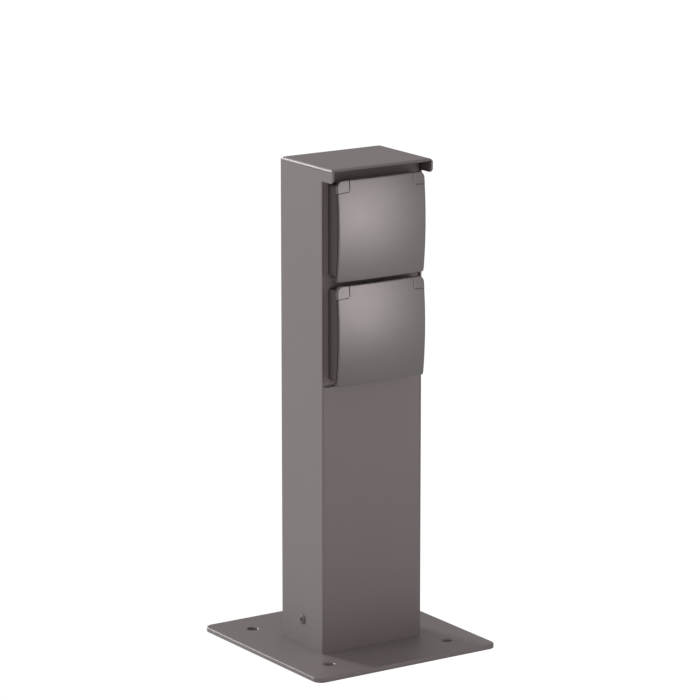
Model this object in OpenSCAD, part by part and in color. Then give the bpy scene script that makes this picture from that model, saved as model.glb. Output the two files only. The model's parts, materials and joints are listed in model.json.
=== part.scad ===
// Garden socket post: a sheet-metal post on a base plate, with two hinged-lid sockets under a small hood.
// Millimetres, +Z up, front towards -Y, origin at the centre of the base plate's underside.

/* [Base plate] */
// Side of the square base plate
base_w = 182; // [170:1:220]
// Thickness of the base plate
base_t = 4; // [3:0.5:8]
// Radius of the base plate's corners
base_corner_r = 8; // [2:0.5:16]
// Distance between neighbouring anchor holes
anchor_pitch = 120; // [110:1:145]
// Diameter of the anchor holes
anchor_d = 9; // [6:0.5:12]
// Bore of the grommet that the ground cable comes through
cable_d = 20; // [12:1:24]

/* [Post] */
// Width of the post
post_w = 100; // [98:1:120]
// Depth of the post
post_d = 63; // [62:1:80]
// Length of the tube between base plate and roof
post_h = 414.5; // [380:0.5:600]
// Thickness of the post's sheet
post_wall = 2; // [1.5:0.25:3]
// Outer radius of the post's upright edges
post_edge_r = 1.5; // [0.5:0.25:3]
// How far the post's middle stands in front of the base plate's middle
post_forward = 3.3; // [0:0.1:8]

/* [Hood] */
// Thickness of the roof plate
roof_t = 2.5; // [2:0.25:5]
// How far the roof and its cheeks reach in front of the post
hood_reach = 16; // [12:0.5:24]
// Height of the cheeks under the roof
cheek_h = 8.5; // [5:0.5:12]
// Radius of the cheeks' lower front corner
cheek_r = 4; // [1:0.5:4.5]
// Radius of the roof plate's corners
roof_corner_r = 1.5; // [0.5:0.5:4]

/* [Lids] */
// Width of a lid with its hinge caps
lid_w = 86.8; // [84:0.2:90]
// Height of a lid
lid_h = 85; // [82:0.5:90]
// Gap between the two lids
lid_gap = 3.7; // [3:0.1:8]
// Gap between the upper lid and the roof
lid_top_gap = 7.8; // [6:0.1:14]
// Gap between the lower lid and the edge of the front wall
window_gap = 2; // [1:0.5:8]
// Thickness of a lid
lid_t = 3; // [2.5:0.1:3.5]
// How far the middle of a lid stands in front of the post
lid_reach = 17.2; // [16:0.1:20]
// Radius of a lid's bow across
lid_bow_across = 550; // [400:10:900]
// Radius of a lid's bow from top to bottom
lid_bow_up = 330; // [260:10:600]
// Radius of a lid's top and bottom edges
lid_edge_r = 1; // [0.6:0.1:2]
// Depth of the flanges along a lid's top and bottom
lid_flange = 6.5; // [5.5:0.1:7.5]
// Radius of a lid's lower corners
lid_corner_r = 1.5; // [0.5:0.1:3]

/* [Hinges] */
// How far the hinge pin stands in front of the post
hinge_reach = 9; // [8.5:0.1:9.5]
// How far the hinge pin lies under the lid's top edge
hinge_drop = 5.5; // [5:0.1:6]
// Diameter of the hinge pin
pin_d = 3; // [2.5:0.1:3.4]
// Running clearance round the hinge pin
pin_play = 0.06; // [0.03:0.01:0.1]
// Width of a hinge cap
cap_w = 11.5; // [9:0.5:14]
// Height of a hinge cap
cap_h = 11; // [10.5:0.1:11.5]
// Outer corner radius of a hinge cap
cap_corner_r = 5.5; // [2:0.5:6]
// Seam between a hinge cap and the lid
cap_seam = 0.3; // [0.25:0.05:0.5]
// Width of a hinge knuckle on the lid
knuckle_w = 11; // [6:0.5:14]
// Wire of the lid's spring
spring_wire = 0.8; // [0.6:0.1:1]
// Turns of the lid's spring
spring_turns = 5; // [3:1:7]

/* [Sockets] */
// Diameter of the dish that a plug goes into
dish_d = 39; // [36:0.5:41]
// Depth of the dish
dish_depth = 17.5; // [15:0.5:19]
// Wall of the dish
dish_wall = 1.8; // [1.4:0.1:2.2]
// Distance between the two pin holes
pin_hole_pitch = 19; // [18:0.5:20]
// Diameter of a plug's pins
plug_pin_d = 4.8; // [4:0.1:4.8]
// Diameter of the pin holes
pin_hole_d = 6; // [5:0.1:6.4]
// How far the dish's middle lies under the lid's middle
dish_drop = 4; // [3:0.5:5]
// How far the cover's face stands in front of the post
cover_reach = 8; // [7:0.1:8.5]
// Thickness of the cover's face
cover_t = 2.5; // [2:0.1:3]
// Gap between the cover and the frame's lower wall
cover_gap = 1; // [0.5:0.1:3]
// Wall of the frame
frame_wall = 2.5; // [2:0.1:3]
// Thickness of the gasket behind the frame
gasket_t = 0.8; // [0.5:0.1:1.5]
// Length of the socket base behind the carrier's face
socket_l = 30; // [26:0.5:32]
// Section of the lid's seal
seal_w = 4; // [3:0.5:5]

/* [Inside] */
// Thickness of the carrier plate
carrier_t = 2; // [1.5:0.25:3]
// Depth of the carrier plate's side flanges
carrier_flange = 12; // [8:1:20]
// Overlap of the carrier plate behind the front wall
carrier_lap = 32; // [20:1:60]
// Height of the foot angles
angle_h = 46; // [36:1:80]
// Length of the foot angles from front to back
angle_l = 34; // [26:1:40]
// Thickness of the foot angles
angle_t = 3; // [2:0.5:4]
// Reach of the foot angles over the base plate
angle_reach = 27; // [22:1:29]
// Height of the terminal bracket
bracket_h = 96; // [90:1:120]
// Outer diameter of the inner wires
wire_d = 3.4; // [2.5:0.1:3.6]

/* [Screws] */
// Height of the post's fixing screws over the base plate
fixing_z = 23; // [16:0.5:32]
// Thread diameter of the post's fixing screws and foot screws
fixing_d = 5; // [4:0.5:6]
// Head diameter of the post's fixing screws
fixing_head_d = 9.5; // [8:0.5:12]
// Head height of the post's fixing screws
fixing_head_h = 2.7; // [2:0.1:3.5]
// Thread diameter of the small screws at the sockets
small_d = 3; // [2.5:0.1:3.2]
// Head diameter of the small screws
small_head_d = 5.8; // [5:0.1:6]

/* [Hidden] */

$fn = 64;
// Segments of the large bows, whose arcs are short
bow_fn = 1440;
// How far a bow runs on past the lid's sides before it is trimmed
bow_margin = 8;
// Overshoot of cuts
cut = 1;
// Clearance of fixed pieces round each other
fixed_play = 0.05;
// Clearance between pieces that pass each other
loose_play = 0.5;

// Colours
paint = [0.53, 0.50, 0.50];
lid_grey = [0.58, 0.56, 0.56];
frame_grey = [0.20, 0.19, 0.19];
steel = [0.70, 0.70, 0.70];
brass = [0.78, 0.62, 0.30];
black_rubber = [0.08, 0.08, 0.08];
moulding = [0.85, 0.83, 0.78];

// Post
front_y = -post_forward - post_d / 2;
rear_y = front_y + post_d - post_wall;
inner_w = post_w - 2 * post_wall;
tube_top = base_t + post_h;

// Heights of the two sockets, at the middle of their lids
upper_mid = tube_top - lid_top_gap - lid_h / 2;
lower_mid = upper_mid - lid_h - lid_gap;
window_z = lower_mid - lid_h / 2 - window_gap;

// Depths in front of the post's front plane
carrier_face = -post_wall;
carrier_back = carrier_face - carrier_t;
frame_back = carrier_face + gasket_t;
frame_floor_t = 2.5;
frame_floor = frame_back + frame_floor_t;
rim_gap = 0.5;
dish_floor = cover_reach - dish_depth;
dish_floor_t = 2;
dish_back = dish_floor - dish_floor_t;
strip_t = 0.8;
strip_gap = 0.4;
base_floor = dish_back - strip_gap - strip_t;
base_back = carrier_face - socket_l;
seal_gap = 0.3;
seal_t = 2.2;
seal_back = cover_reach + seal_gap;

// Hinge, about each lid's middle
hinge_y = lid_h / 2 - hinge_drop;
cap_x = lid_w / 2 - cap_w;
cap_wall = 1.2;
cap_back = hinge_reach - pin_d / 2 - cap_wall;
cap_turn_r = 7;
lid_turn_r = cap_turn_r + cap_seam;
knuckle_wall = 2.1;
knuckle_r = pin_d / 2 + knuckle_wall;
knuckle_out = cap_x - cap_seam;
knuckle_in = knuckle_out - knuckle_w;
pin_end = 1.5;

// Top edge of a lid, and how far it swings about the hinge
lid_edge_y = lid_h / 2 - lid_edge_r;
lid_edge_z = lid_reach - lid_bow_up + sqrt(pow(lid_bow_up - lid_edge_r, 2) - pow(lid_edge_y, 2));
scoop_r = norm([lid_edge_y - hinge_y, lid_edge_z - hinge_reach]) + lid_edge_r + loose_play;

// Spring round the hinge pin
spring_sides = 6;
spring_rings = 8;
spring_play = 0.5;
spring_r = pin_d / 2 + spring_wire / 2 + spring_play;
spring_pitch = spring_wire * 2;
spring_half = (spring_turns + 0.5) * spring_pitch / 2;
spring_leg = 10;
spring_knee = 4;
spring_foot = 6;
spring_touch = 0.1;

// Round pieces of the sockets
dish_y = -dish_drop;
dish_r = dish_d / 2;
dish_outer_r = dish_r + dish_wall;
hollow_r = dish_outer_r + loose_play;
base_wall = 1.7;
socket_r = hollow_r + base_wall;
ring_t = 1.2;
ring_r = socket_r + 3;
ring_screw_x = socket_r + small_d / 2 + 2.5;
ring_reach = ring_screw_x + small_d / 2 + 2;
ring_ear_half = 6;
sleeve_wall = 0.9;
sleeve_r = pin_hole_d / 2 + sleeve_wall;
sleeve_l = 15;
sleeve_bore_r = plug_pin_d / 2 + fixed_play;
clip_w = 4;
strip_w = 7;
clip_in = 1.3;
clip_short = 5.25;
clip_front = cover_reach - clip_short;
clip_slot_play = 0.2;
small_head_h = 1.8;
centre_screw_l = 14;
rib_offset = 5.5;
rib_mid = dish_r + rib_offset;
rib_half = 1.25;

// Frame outline, about each lid's middle
frame_inset = 0.6;
frame_half = lid_w / 2 - frame_inset;
frame_top = lid_h / 2 - lid_t - rim_gap;
frame_bottom = -frame_top;
pocket_half = frame_half - frame_wall;
pocket_bottom = frame_bottom + frame_wall;
pocket_top = frame_top + cut;
cap_block_x = pocket_half - cap_seam;
gasket_margin = 1;
cover_half = pocket_half - loose_play;
cover_h = 2 * (dish_y - pocket_bottom - cover_gap);
cover_skirt = 2;
cover_corner_r = 3;
frame_screw_x = cover_half - cover_skirt - small_head_d / 2 - loose_play;
frame_screw_y = cover_h / 2 - cover_skirt - small_head_d / 2 - 2;

// Foot
grommet_wall = 3;
grommet_lip = 4;
grommet_lip_t = 2.5;
grommet_z = 0.5;
foot_screw_head_r = fixing_d * 0.85;
foot_screw_head_h = 3;
foot_screw_l = base_t - grommet_z;
foot_screw_edge = 1.2;
foot_screw_x = inner_w / 2 - angle_reach + foot_screw_head_r + foot_screw_edge;
foot_screw_y = angle_l / 2 - foot_screw_head_r - foot_screw_edge;

// Terminals
bracket_t = 1.5;
bracket_y = cable_d / 2 + grommet_wall + grommet_lip + loose_play - post_forward;
bracket_half = inner_w / 2 - angle_reach - loose_play;
bracket_wall_gap = 1.5;
bracket_foot = rear_y - bracket_y - bracket_wall_gap;
block_w = 48;
block_d = 18;
block_h = 22;
block_drop = 30;
block_z = base_t + bracket_h - block_drop;
block_screw_sink = 4;
pole_pitch = 14;
pole_y = bracket_y - block_d / 2;
wire_hole_play = 0.2;
wire_hole_r = wire_d / 2 + wire_hole_play;
terminal_screw_r = 2.3;
terminal_screw_sink = 1.5;
terminal_screw_l = 4;
terminal_gap = 0.1;
earth_stud_r = 2.5;
earth_stud_l = 15;
earth_nut_af = 8;
earth_nut_t = 3.5;
earth_drop = 20;
earth_z = block_z - earth_drop;
lug_t = 1;
lug_margin = 2.5;
lug_tongue = 12;

// Wires
wire_sides = 8;
wire_step = 6;
wire_wall_gap = 9;
wire_end = 6;
wire_run_y = rear_y - wire_wall_gap;
wire_end_y = front_y - base_back - wire_end;
wire_bend_r = 11;
wire_crimp_bend_r = 3;
wire_crimp = 6;
wire_drop = 3;
wire_pair = 6;
wire_tuck = 8;
wire_lift = 13;

// Two-dimensional shapes
module rounded_square(w, h, r) {
    square([w, h - 2 * r], center = true);
    square([w - 2 * r, h], center = true);
    for (x = [-1, 1], y = [-1, 1])
        translate([x * (w / 2 - r), y * (h / 2 - r)]) circle(r = r);
}

// Rectangle between two corners
module span(x0, x1, y0, y1) {
    translate([x0, y0]) square([x1 - x0, y1 - y0]);
}

// Hole for a small screw's shank
module small_hole() {
    circle(d = small_d + 2 * fixed_play);
}

// Places its children on the post's front plane at a height, with x right, y up and z forward
module facing(z) {
    translate([0, front_y, z]) rotate([90, 0, 0]) children();
}

// Places its children round a socket dish
module at_dish(mid) {
    facing(mid) translate([0, dish_y, 0]) children();
}

// Extrudes a front outline between two depths
module slab(z0, z1) {
    translate([0, 0, z0]) linear_extrude(z1 - z0) children();
}

// Cylinder along x between two places, on the hinge axis
module hinge_rod(x0, x1, r) {
    translate([x0, hinge_y, hinge_reach]) rotate([0, 90, 0]) cylinder(r = r, h = x1 - x0);
}

// Ring with a square section, between two depths
module tube(z0, z1, ro, ri) {
    translate([0, 0, z0]) difference() {
        cylinder(r = ro, h = z1 - z0);
        translate([0, 0, -cut]) cylinder(r = ri, h = z1 - z0 + 2 * cut);
    }
}

// Side view of a lid's outer form, at a distance behind it: a bow, with rounded edges where there is room
module bow_profile(inset, back) {
    bow_r = lid_bow_up - inset;
    edge_r = max(lid_edge_r - inset, 0);
    top = lid_h / 2 - inset;
    edge_y = top - edge_r;
    centre_x = lid_bow_across - lid_bow_up;
    edge_x = centre_x + sqrt(pow(bow_r - edge_r, 2) - pow(edge_y, 2));
    tangent_y = edge_y * bow_r / (bow_r - edge_r);
    back_x = lid_bow_across - lid_reach + back;
    intersection() {
        translate([centre_x, 0]) circle(r = bow_r, $fn = bow_fn);
        span(edge_r > 0 ? edge_x : back_x, centre_x + bow_r + cut, -tangent_y, tangent_y);
    }
    if (edge_r > 0) {
        for (side = [-1, 1]) translate([edge_x, side * edge_y]) circle(r = edge_r);
        span(back_x, edge_x, -top, top);
    }
}

// Solid with a lid's outer form, its front a given distance behind the lid's
module bow_solid(inset, back) {
    sweep = 2 * asin((lid_w / 2 + bow_margin) / lid_bow_across);
    translate([0, 0, lid_reach - lid_bow_across]) rotate([-90, 0, 0])
        rotate([0, 0, -90 - sweep / 2])
            rotate_extrude(angle = sweep, $fn = bow_fn) bow_profile(inset, back);
}

// Screw with a slotted flat head: the head sits on z = 0, the shank goes down
module slotted_screw(head_r, head_h, shank_r, length) {
    slot_w = head_r * 0.3;
    slot_d = head_h * 0.5;
    difference() {
        union() {
            cylinder(r = head_r, h = head_h);
            translate([0, 0, -length]) cylinder(r = shank_r, h = length + head_h / 4);
        }
        translate([-head_r - cut, -slot_w / 2, head_h - slot_d])
            cube([2 * (head_r + cut), slot_w, slot_d + cut]);
    }
}

// Places its children at the two screws of a support ring
module at_ring_screws(mid) {
    at_dish(mid) for (side = [-1, 1]) translate([side * ring_screw_x, 0, 0]) children();
}

// Places its children at the four screws of a frame
module at_frame_screws(mid) {
    at_dish(mid) for (x = [-1, 1], y = [-1, 1])
        translate([x * frame_screw_x, y * frame_screw_y, 0]) children();
}

// Places its children at the screws of the foot angles
module at_foot_screws() {
    for (x = [-1, 1], y = [-1, 1])
        translate([x * foot_screw_x, y * foot_screw_y - post_forward, base_t + angle_t]) children();
}

// Base
module base_plate() {
    color(paint) difference() {
        linear_extrude(base_t) rounded_square(base_w, base_w, base_corner_r);
        for (x = [-1, 1], y = [-1, 1])
            translate([x * anchor_pitch / 2, y * anchor_pitch / 2, -cut])
                cylinder(d = anchor_d, h = base_t + 2 * cut);
        translate([0, -post_forward, -cut])
            cylinder(r = cable_d / 2 + grommet_wall + fixed_play, h = base_t + 2 * cut);
        at_foot_screws() translate([0, 0, -foot_screw_l - angle_t])
            cylinder(d = fixing_d + 2 * fixed_play, h = foot_screw_l + angle_t + cut);
    }
}

module cable_grommet() {
    grommet_r = cable_d / 2 + grommet_wall;
    color(black_rubber) translate([0, -post_forward, 0]) difference() {
        union() {
            translate([0, 0, grommet_z]) cylinder(r = grommet_r, h = base_t - grommet_z + cut);
            translate([0, 0, base_t]) cylinder(r = grommet_r + grommet_lip, h = grommet_lip_t);
        }
        cylinder(d = cable_d, h = base_t + grommet_lip_t + cut);
    }
}

// Angle inside the post's wall, on the right; the left one is its mirror image
module foot_angle() {
    color(steel) difference() {
        translate([0, -post_forward - angle_l / 2, base_t]) union() {
            translate([inner_w / 2 - angle_t, 0, 0]) cube([angle_t, angle_l, angle_h]);
            translate([inner_w / 2 - angle_reach, 0, 0]) cube([angle_reach, angle_l, angle_t]);
        }
        translate([inner_w / 2 - angle_t - cut, -post_forward, base_t + fixing_z]) rotate([0, 90, 0])
            cylinder(d = fixing_d + 2 * fixed_play, h = angle_t + 2 * cut);
        at_foot_screws() translate([0, 0, -angle_t - cut])
            cylinder(d = fixing_d + 2 * fixed_play, h = angle_t + 2 * cut);
    }
}

module right_foot_angle() foot_angle();

module left_foot_angle() mirror([1, 0, 0]) foot_angle();

module foot_screws() {
    length = foot_screw_l + angle_t - fixed_play;
    color(steel) at_foot_screws()
        slotted_screw(foot_screw_head_r, foot_screw_head_h, fixing_d / 2, length);
}

// Post
module post_tube() {
    color(paint) {
        difference() {
            translate([0, -post_forward, base_t]) linear_extrude(post_h) difference() {
                rounded_square(post_w, post_d, post_edge_r);
                square([inner_w, post_d - 2 * post_wall], center = true);
            }
            translate([-inner_w / 2, front_y - cut, window_z])
                cube([inner_w, post_wall + cut + fixed_play, post_h]);
            for (side = [-1, 1])
                translate([side * (post_w / 2 + cut), -post_forward, base_t + fixing_z])
                    rotate([0, -90 * side, 0])
                        cylinder(d = fixing_d + 2 * fixed_play, h = post_wall + 2 * cut);
        }
        for (side = [0, 1]) mirror([side, 0, 0])
            translate([inner_w / 2, 0, 0]) rotate([90, 0, 90]) linear_extrude(post_wall) cheek_outline();
    }
}

// Side view of a cheek, with y running forward to back and its lower front corner rounded
module cheek_outline() {
    tip = front_y - hood_reach;
    low = tube_top - cheek_h;
    span(tip + cheek_r, front_y + post_edge_r + cut, low, tube_top);
    span(tip, front_y + post_edge_r + cut, low + cheek_r, tube_top);
    translate([tip + cheek_r, low + cheek_r]) circle(r = cheek_r);
}

module roof_plate() {
    roof_d = post_d + hood_reach;
    color(paint) translate([0, front_y - hood_reach + roof_d / 2, tube_top])
        linear_extrude(roof_t) rounded_square(post_w, roof_d, roof_corner_r);
}

// Domed screw with a hexagon socket, on the right side; the left one is its mirror image
module fixing_screw() {
    head_r = fixing_head_d / 2;
    dome_r = (pow(head_r, 2) + pow(fixing_head_h, 2)) / (2 * fixing_head_h);
    hex_af = 3;
    hex_depth = 1.6;
    thread_out = 2;
    reach = post_wall + angle_t + thread_out;
    translate([post_w / 2, -post_forward, base_t + fixing_z]) rotate([0, 90, 0]) difference() {
        union() {
            intersection() {
                translate([0, 0, fixing_head_h - dome_r]) sphere(r = dome_r);
                cylinder(r = head_r + cut, h = fixing_head_h + cut);
            }
            translate([0, 0, -reach]) cylinder(d = fixing_d, h = reach + fixing_head_h / 4);
        }
        translate([0, 0, fixing_head_h - hex_depth])
            cylinder(d = hex_af / cos(30), h = hex_depth + cut, $fn = 6);
    }
}

module post_fixing_screws() {
    color(steel) for (side = [0, 1]) mirror([side, 0, 0]) fixing_screw();
}

// Plate behind the window that carries both sockets, its side flanges against the post's side walls
module carrier_plate() {
    roof_gap = 2.5;
    bottom = window_z - carrier_lap;
    top = tube_top - roof_gap;
    flange_back = carrier_back - carrier_flange;
    color(frame_grey) difference() {
        facing(0) union() {
            slab(carrier_back, carrier_face) span(-inner_w / 2, inner_w / 2, bottom, top);
            slab(flange_back, carrier_back + cut) for (side = [0, 1]) mirror([side, 0])
                span(inner_w / 2 - carrier_t, inner_w / 2, bottom, top);
        }
        for (mid = [upper_mid, lower_mid]) {
            at_dish(mid) slab(carrier_back - cut, carrier_face + cut) circle(r = socket_r + loose_play);
            at_ring_screws(mid) slab(carrier_back - cut, carrier_face + cut) small_hole();
            at_frame_screws(mid) slab(carrier_back - cut, carrier_face + cut) small_hole();
        }
    }
}

// Terminals at the foot: an upright bracket, its foot welded to the base plate
module terminal_bracket() {
    color(steel) difference() {
        union() {
            translate([-bracket_half, bracket_y, base_t]) cube([2 * bracket_half, bracket_t, bracket_h]);
            translate([-bracket_half, bracket_y, base_t]) cube([2 * bracket_half, bracket_foot, bracket_t]);
        }
        at_block_screws() translate([0, 0, -block_d - bracket_t - cut])
            cylinder(d = small_d + 2 * fixed_play, h = block_d + bracket_t + 2 * cut);
        at_earth_stud() translate([0, 0, -bracket_t - cut])
            cylinder(r = earth_stud_r + fixed_play, h = bracket_t + 2 * cut);
    }
}

// Places its children at the block's two mounting screws, with z forward from the block's face
module at_block_screws() {
    for (side = [-1, 1])
        translate([side * pole_pitch / 2, bracket_y - block_d, block_z + block_h / 2])
            rotate([90, 0, 0]) children();
}

// Places its children at the six terminal screws, with z forward from the block's face
module at_terminal_screws() {
    for (pole = [-1, 0, 1], row = [-1, 1])
        translate([pole * pole_pitch, bracket_y - block_d, block_z + block_h / 2 + row * block_h / 4])
            rotate([90, 0, 0]) children();
}

// Places its children at the earth stud, with z forward from the bracket's face
module at_earth_stud() {
    translate([pole_pitch, bracket_y, earth_z]) rotate([90, 0, 0]) children();
}

module terminal_block() {
    color(moulding) difference() {
        translate([-block_w / 2, bracket_y - block_d, block_z]) cube([block_w, block_d, block_h]);
        for (pole = [-1, 0, 1]) translate([pole * pole_pitch, pole_y, block_z - cut])
            cylinder(r = wire_hole_r, h = block_h + 2 * cut);
        at_terminal_screws() translate([0, 0, -terminal_screw_sink - terminal_screw_l])
            cylinder(r = terminal_screw_r + terminal_gap, h = terminal_screw_sink + terminal_screw_l + cut);
        at_block_screws() {
            translate([0, 0, -block_d - cut]) cylinder(d = small_d + 2 * fixed_play, h = block_d + 2 * cut);
            translate([0, 0, -block_screw_sink])
                cylinder(r = small_head_d / 2 + terminal_gap, h = block_screw_sink + cut);
        }
    }
}

module terminal_screws() {
    color(brass) at_terminal_screws() translate([0, 0, -terminal_screw_sink - terminal_screw_l])
        slotted_screw(terminal_screw_r, terminal_screw_l, terminal_screw_r, 0);
}

module block_screws() {
    length = block_d - block_screw_sink + bracket_t;
    color(steel) at_block_screws() translate([0, 0, -block_screw_sink])
        slotted_screw(small_head_d / 2, small_head_h, small_d / 2, length);
}

module earth_stud() {
    color(steel) at_earth_stud() translate([0, 0, -bracket_t])
        cylinder(r = earth_stud_r, h = earth_stud_l + bracket_t);
}

// Two nuts on the stud, with room for the lug between them
module earth_nuts() {
    color(steel) at_earth_stud() for (z = [0, earth_nut_t + lug_t]) translate([0, 0, z]) difference() {
        cylinder(d = earth_nut_af / cos(30), h = earth_nut_t, $fn = 6);
        translate([0, 0, -cut]) cylinder(r = earth_stud_r + fixed_play, h = earth_nut_t + 2 * cut);
    }
}

// Ring of the lug on the stud, and its tongue up to the wire
module earth_lug() {
    color(brass) at_earth_stud() slab(earth_nut_t, earth_nut_t + lug_t) difference() {
        union() {
            circle(r = earth_stud_r + lug_margin);
            span(-wire_d / 2, wire_d / 2, 0, lug_tongue);
        }
        circle(r = earth_stud_r + fixed_play);
    }
}

// Wires: a route in an upright plane, its corners rounded
function unit(v) = v / norm(v);

// Points of the arc that rounds corner b between a and c
function corner_arc(a, b, c, r) =
    let (
        u = unit(a - b),
        w = unit(c - b),
        half = acos(u * w) / 2,
        centre = b + unit(u + w) * r / sin(half),
        start = b + u * r / tan(half) - centre,
        end = b + w * r / tan(half) - centre,
        turn = 180 - 2 * half
    )
    [for (i = [0 : wire_step])
        centre + (start * sin(turn * (1 - i / wire_step)) + end * sin(turn * i / wire_step)) / sin(turn)];

// Route with every inner corner rounded
function rounded_route(route, r) = [
    route[0],
    for (i = [1 : len(route) - 2]) each corner_arc(route[i - 1], route[i], route[i + 1], r),
    route[len(route) - 1]
];

// Direction of a path at a point, in the plane of the route
function path_way(path, i) = unit(path[min(i + 1, len(path) - 1)] - path[max(i - 1, 0)]);

// Tube along a route of [y, z] points at one x
module wire(x, route, r) {
    path = rounded_route(route, r);
    last = len(path) - 1;
    points = [
        for (i = [0 : last], s = [0 : wire_sides - 1])
            let (
                way = path_way(path, i),
                across = wire_d / 2 * cos(s * 360 / wire_sides),
                along = wire_d / 2 * sin(s * 360 / wire_sides)
            )
            [x + across, path[i][0] - way[1] * along, path[i][1] + way[0] * along]
    ];
    faces = [
        [for (s = [wire_sides - 1 : -1 : 0]) s],
        [for (s = [0 : wire_sides - 1]) last * wire_sides + s],
        for (i = [0 : last - 1], s = [0 : wire_sides - 1])
            let (
                near = i * wire_sides + s,
                next = i * wire_sides + (s + 1) % wire_sides
            )
            each [[near, next, near + wire_sides], [next, next + wire_sides, near + wire_sides]]
    ];
    polyhedron(points, faces);
}

// One pole's two wires: from the block to the lower socket, and on to the upper one
module pole_wires(pole) {
    x = pole * pole_pitch;
    lower_in = lower_mid + dish_y - wire_pair;
    lower_out = lower_mid + dish_y + wire_pair;
    upper_in = upper_mid + dish_y - wire_pair;
    block_top = block_z + block_h;
    rise = wire_run_y - pole_y;
    wire(x, [
        [pole_y, block_top - wire_tuck],
        [pole_y, block_top + wire_lift],
        [wire_run_y, block_top + wire_lift + rise],
        [wire_run_y, lower_in],
        [wire_end_y, lower_in]
    ], wire_bend_r);
    wire(x, [
        [wire_end_y, lower_out],
        [wire_run_y, lower_out],
        [wire_run_y, upper_in],
        [wire_end_y, upper_in]
    ], wire_bend_r);
}

module live_wires() {
    color([0.35, 0.20, 0.12]) pole_wires(-1);
}

module neutral_wires() {
    color([0.10, 0.25, 0.60]) pole_wires(0);
}

// The earth wires, with the short one from the block down to the lug's tongue
module earth_wires() {
    lug_y = bracket_y - earth_nut_t - lug_t - wire_d / 2;
    color([0.35, 0.60, 0.15]) {
        pole_wires(1);
        wire(pole_pitch, [
            [pole_y, block_z + wire_tuck],
            [pole_y, block_z - wire_drop],
            [lug_y, block_z - wire_drop - lug_y + pole_y],
            [lug_y, earth_z + lug_tongue - wire_crimp]
        ], wire_crimp_bend_r);
    }
}

// Front view of a support ring with its two ears, grown by a clearance
module ring_outline(play) {
    reach = ring_reach + play;
    ear = ring_ear_half + play;
    circle(r = ring_r + play);
    span(-reach, reach, -ear, ear);
}

// One socket: what is screwed to the carrier
module frame_gasket(mid) {
    half = frame_half - gasket_margin;
    color(black_rubber) difference() {
        facing(mid) slab(carrier_face, frame_back) difference() {
            span(-half, half, frame_bottom + gasket_margin, frame_top - gasket_margin);
            translate([0, dish_y]) ring_outline(loose_play);
        }
        at_frame_screws(mid) slab(carrier_face - cut, frame_back + cut)
            circle(d = small_d + 2 * loose_play);
    }
}

// Frame: a shallow box whose rim follows the lid, scooped out for the lid's knuckles
module frame(mid) {
    cap_low = lid_h / 2 - cap_h - cap_seam;
    color(frame_grey) difference() {
        facing(mid) difference() {
            intersection() {
                slab(frame_back, lid_reach) span(-frame_half, frame_half, frame_bottom, frame_top);
                bow_solid(lid_t + rim_gap, -lid_reach);
            }
            difference() {
                slab(frame_floor, lid_reach + cut)
                    span(-pocket_half, pocket_half, pocket_bottom, pocket_top);
                for (side = [0, 1]) mirror([side, 0, 0])
                    slab(frame_floor - cut, cap_back) span(cap_x, lid_w / 2, cap_low, lid_h / 2);
            }
            slab(frame_back - cut, frame_floor + cut) translate([0, dish_y]) ring_outline(loose_play);
            hinge_rod(-cap_x, cap_x, scoop_r);
            for (side = [0, 1]) mirror([side, 0, 0])
                slab(cap_back, lid_reach) span(cap_x - cut, pocket_half, cap_low, lid_h / 2);
        }
        at_frame_screws(mid) slab(frame_back - cut, frame_floor + cut) small_hole();
    }
}

module frame_screws(mid) {
    color(steel) at_frame_screws(mid) translate([0, 0, frame_floor])
        slotted_screw(small_head_d / 2, small_head_h, small_d / 2, frame_floor - carrier_back);
}

module support_ring(mid) {
    color(steel) difference() {
        at_dish(mid) slab(carrier_face, carrier_face + ring_t) difference() {
            ring_outline(0);
            circle(r = hollow_r);
        }
        at_ring_screws(mid) slab(carrier_face - cut, carrier_face + ring_t + cut) small_hole();
    }
}

module ring_screws(mid) {
    color(steel) at_ring_screws(mid) translate([0, 0, carrier_face + ring_t])
        slotted_screw(small_head_d / 2, small_head_h, small_d / 2, ring_t + carrier_t);
}

// Base of the socket: a cup round the dish, with cavities for the contacts and holes for the wires
module socket_base(mid) {
    color(moulding) at_dish(mid) difference() {
        translate([0, 0, base_back]) cylinder(r = socket_r, h = carrier_face - base_back);
        translate([0, 0, base_floor]) cylinder(r = hollow_r, h = carrier_face - base_floor + cut);
        for (side = [-1, 1]) translate([side * pin_hole_pitch / 2, 0, base_floor - sleeve_l])
            cylinder(r = sleeve_r + fixed_play, h = sleeve_l + cut);
        slab(base_floor - centre_screw_l, base_floor + cut) small_hole();
        for (pole = [-1, 0, 1], row = [-1, 1])
            translate([pole * pole_pitch, row * wire_pair, base_back - cut])
                cylinder(r = wire_hole_r, h = wire_end + fixed_play + cut);
    }
}

module contact_sleeves(mid) {
    color(brass) at_dish(mid) for (side = [-1, 1]) translate([side * pin_hole_pitch / 2, 0, 0])
        tube(base_floor - sleeve_l, base_floor - fixed_play, sleeve_r, sleeve_bore_r);
}

// Earth clip: a strip behind the dish's floor with two legs that reach into the dish
module earth_clip(mid) {
    leg_in = dish_r - clip_in;
    leg_out = leg_in + strip_t;
    color(brass) at_dish(mid) difference() {
        union() {
            slab(base_floor, base_floor + strip_t) span(-strip_w / 2, strip_w / 2, -leg_out, leg_out);
            for (side = [0, 1]) mirror([0, side, 0])
                slab(base_floor, clip_front) span(-clip_w / 2, clip_w / 2, leg_in, leg_out);
        }
        slab(base_floor - cut, base_floor + strip_t + cut) circle(d = small_d + 2 * loose_play);
    }
}

module cover_outline() {
    rounded_square(2 * cover_half, cover_h, cover_corner_r);
}

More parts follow.
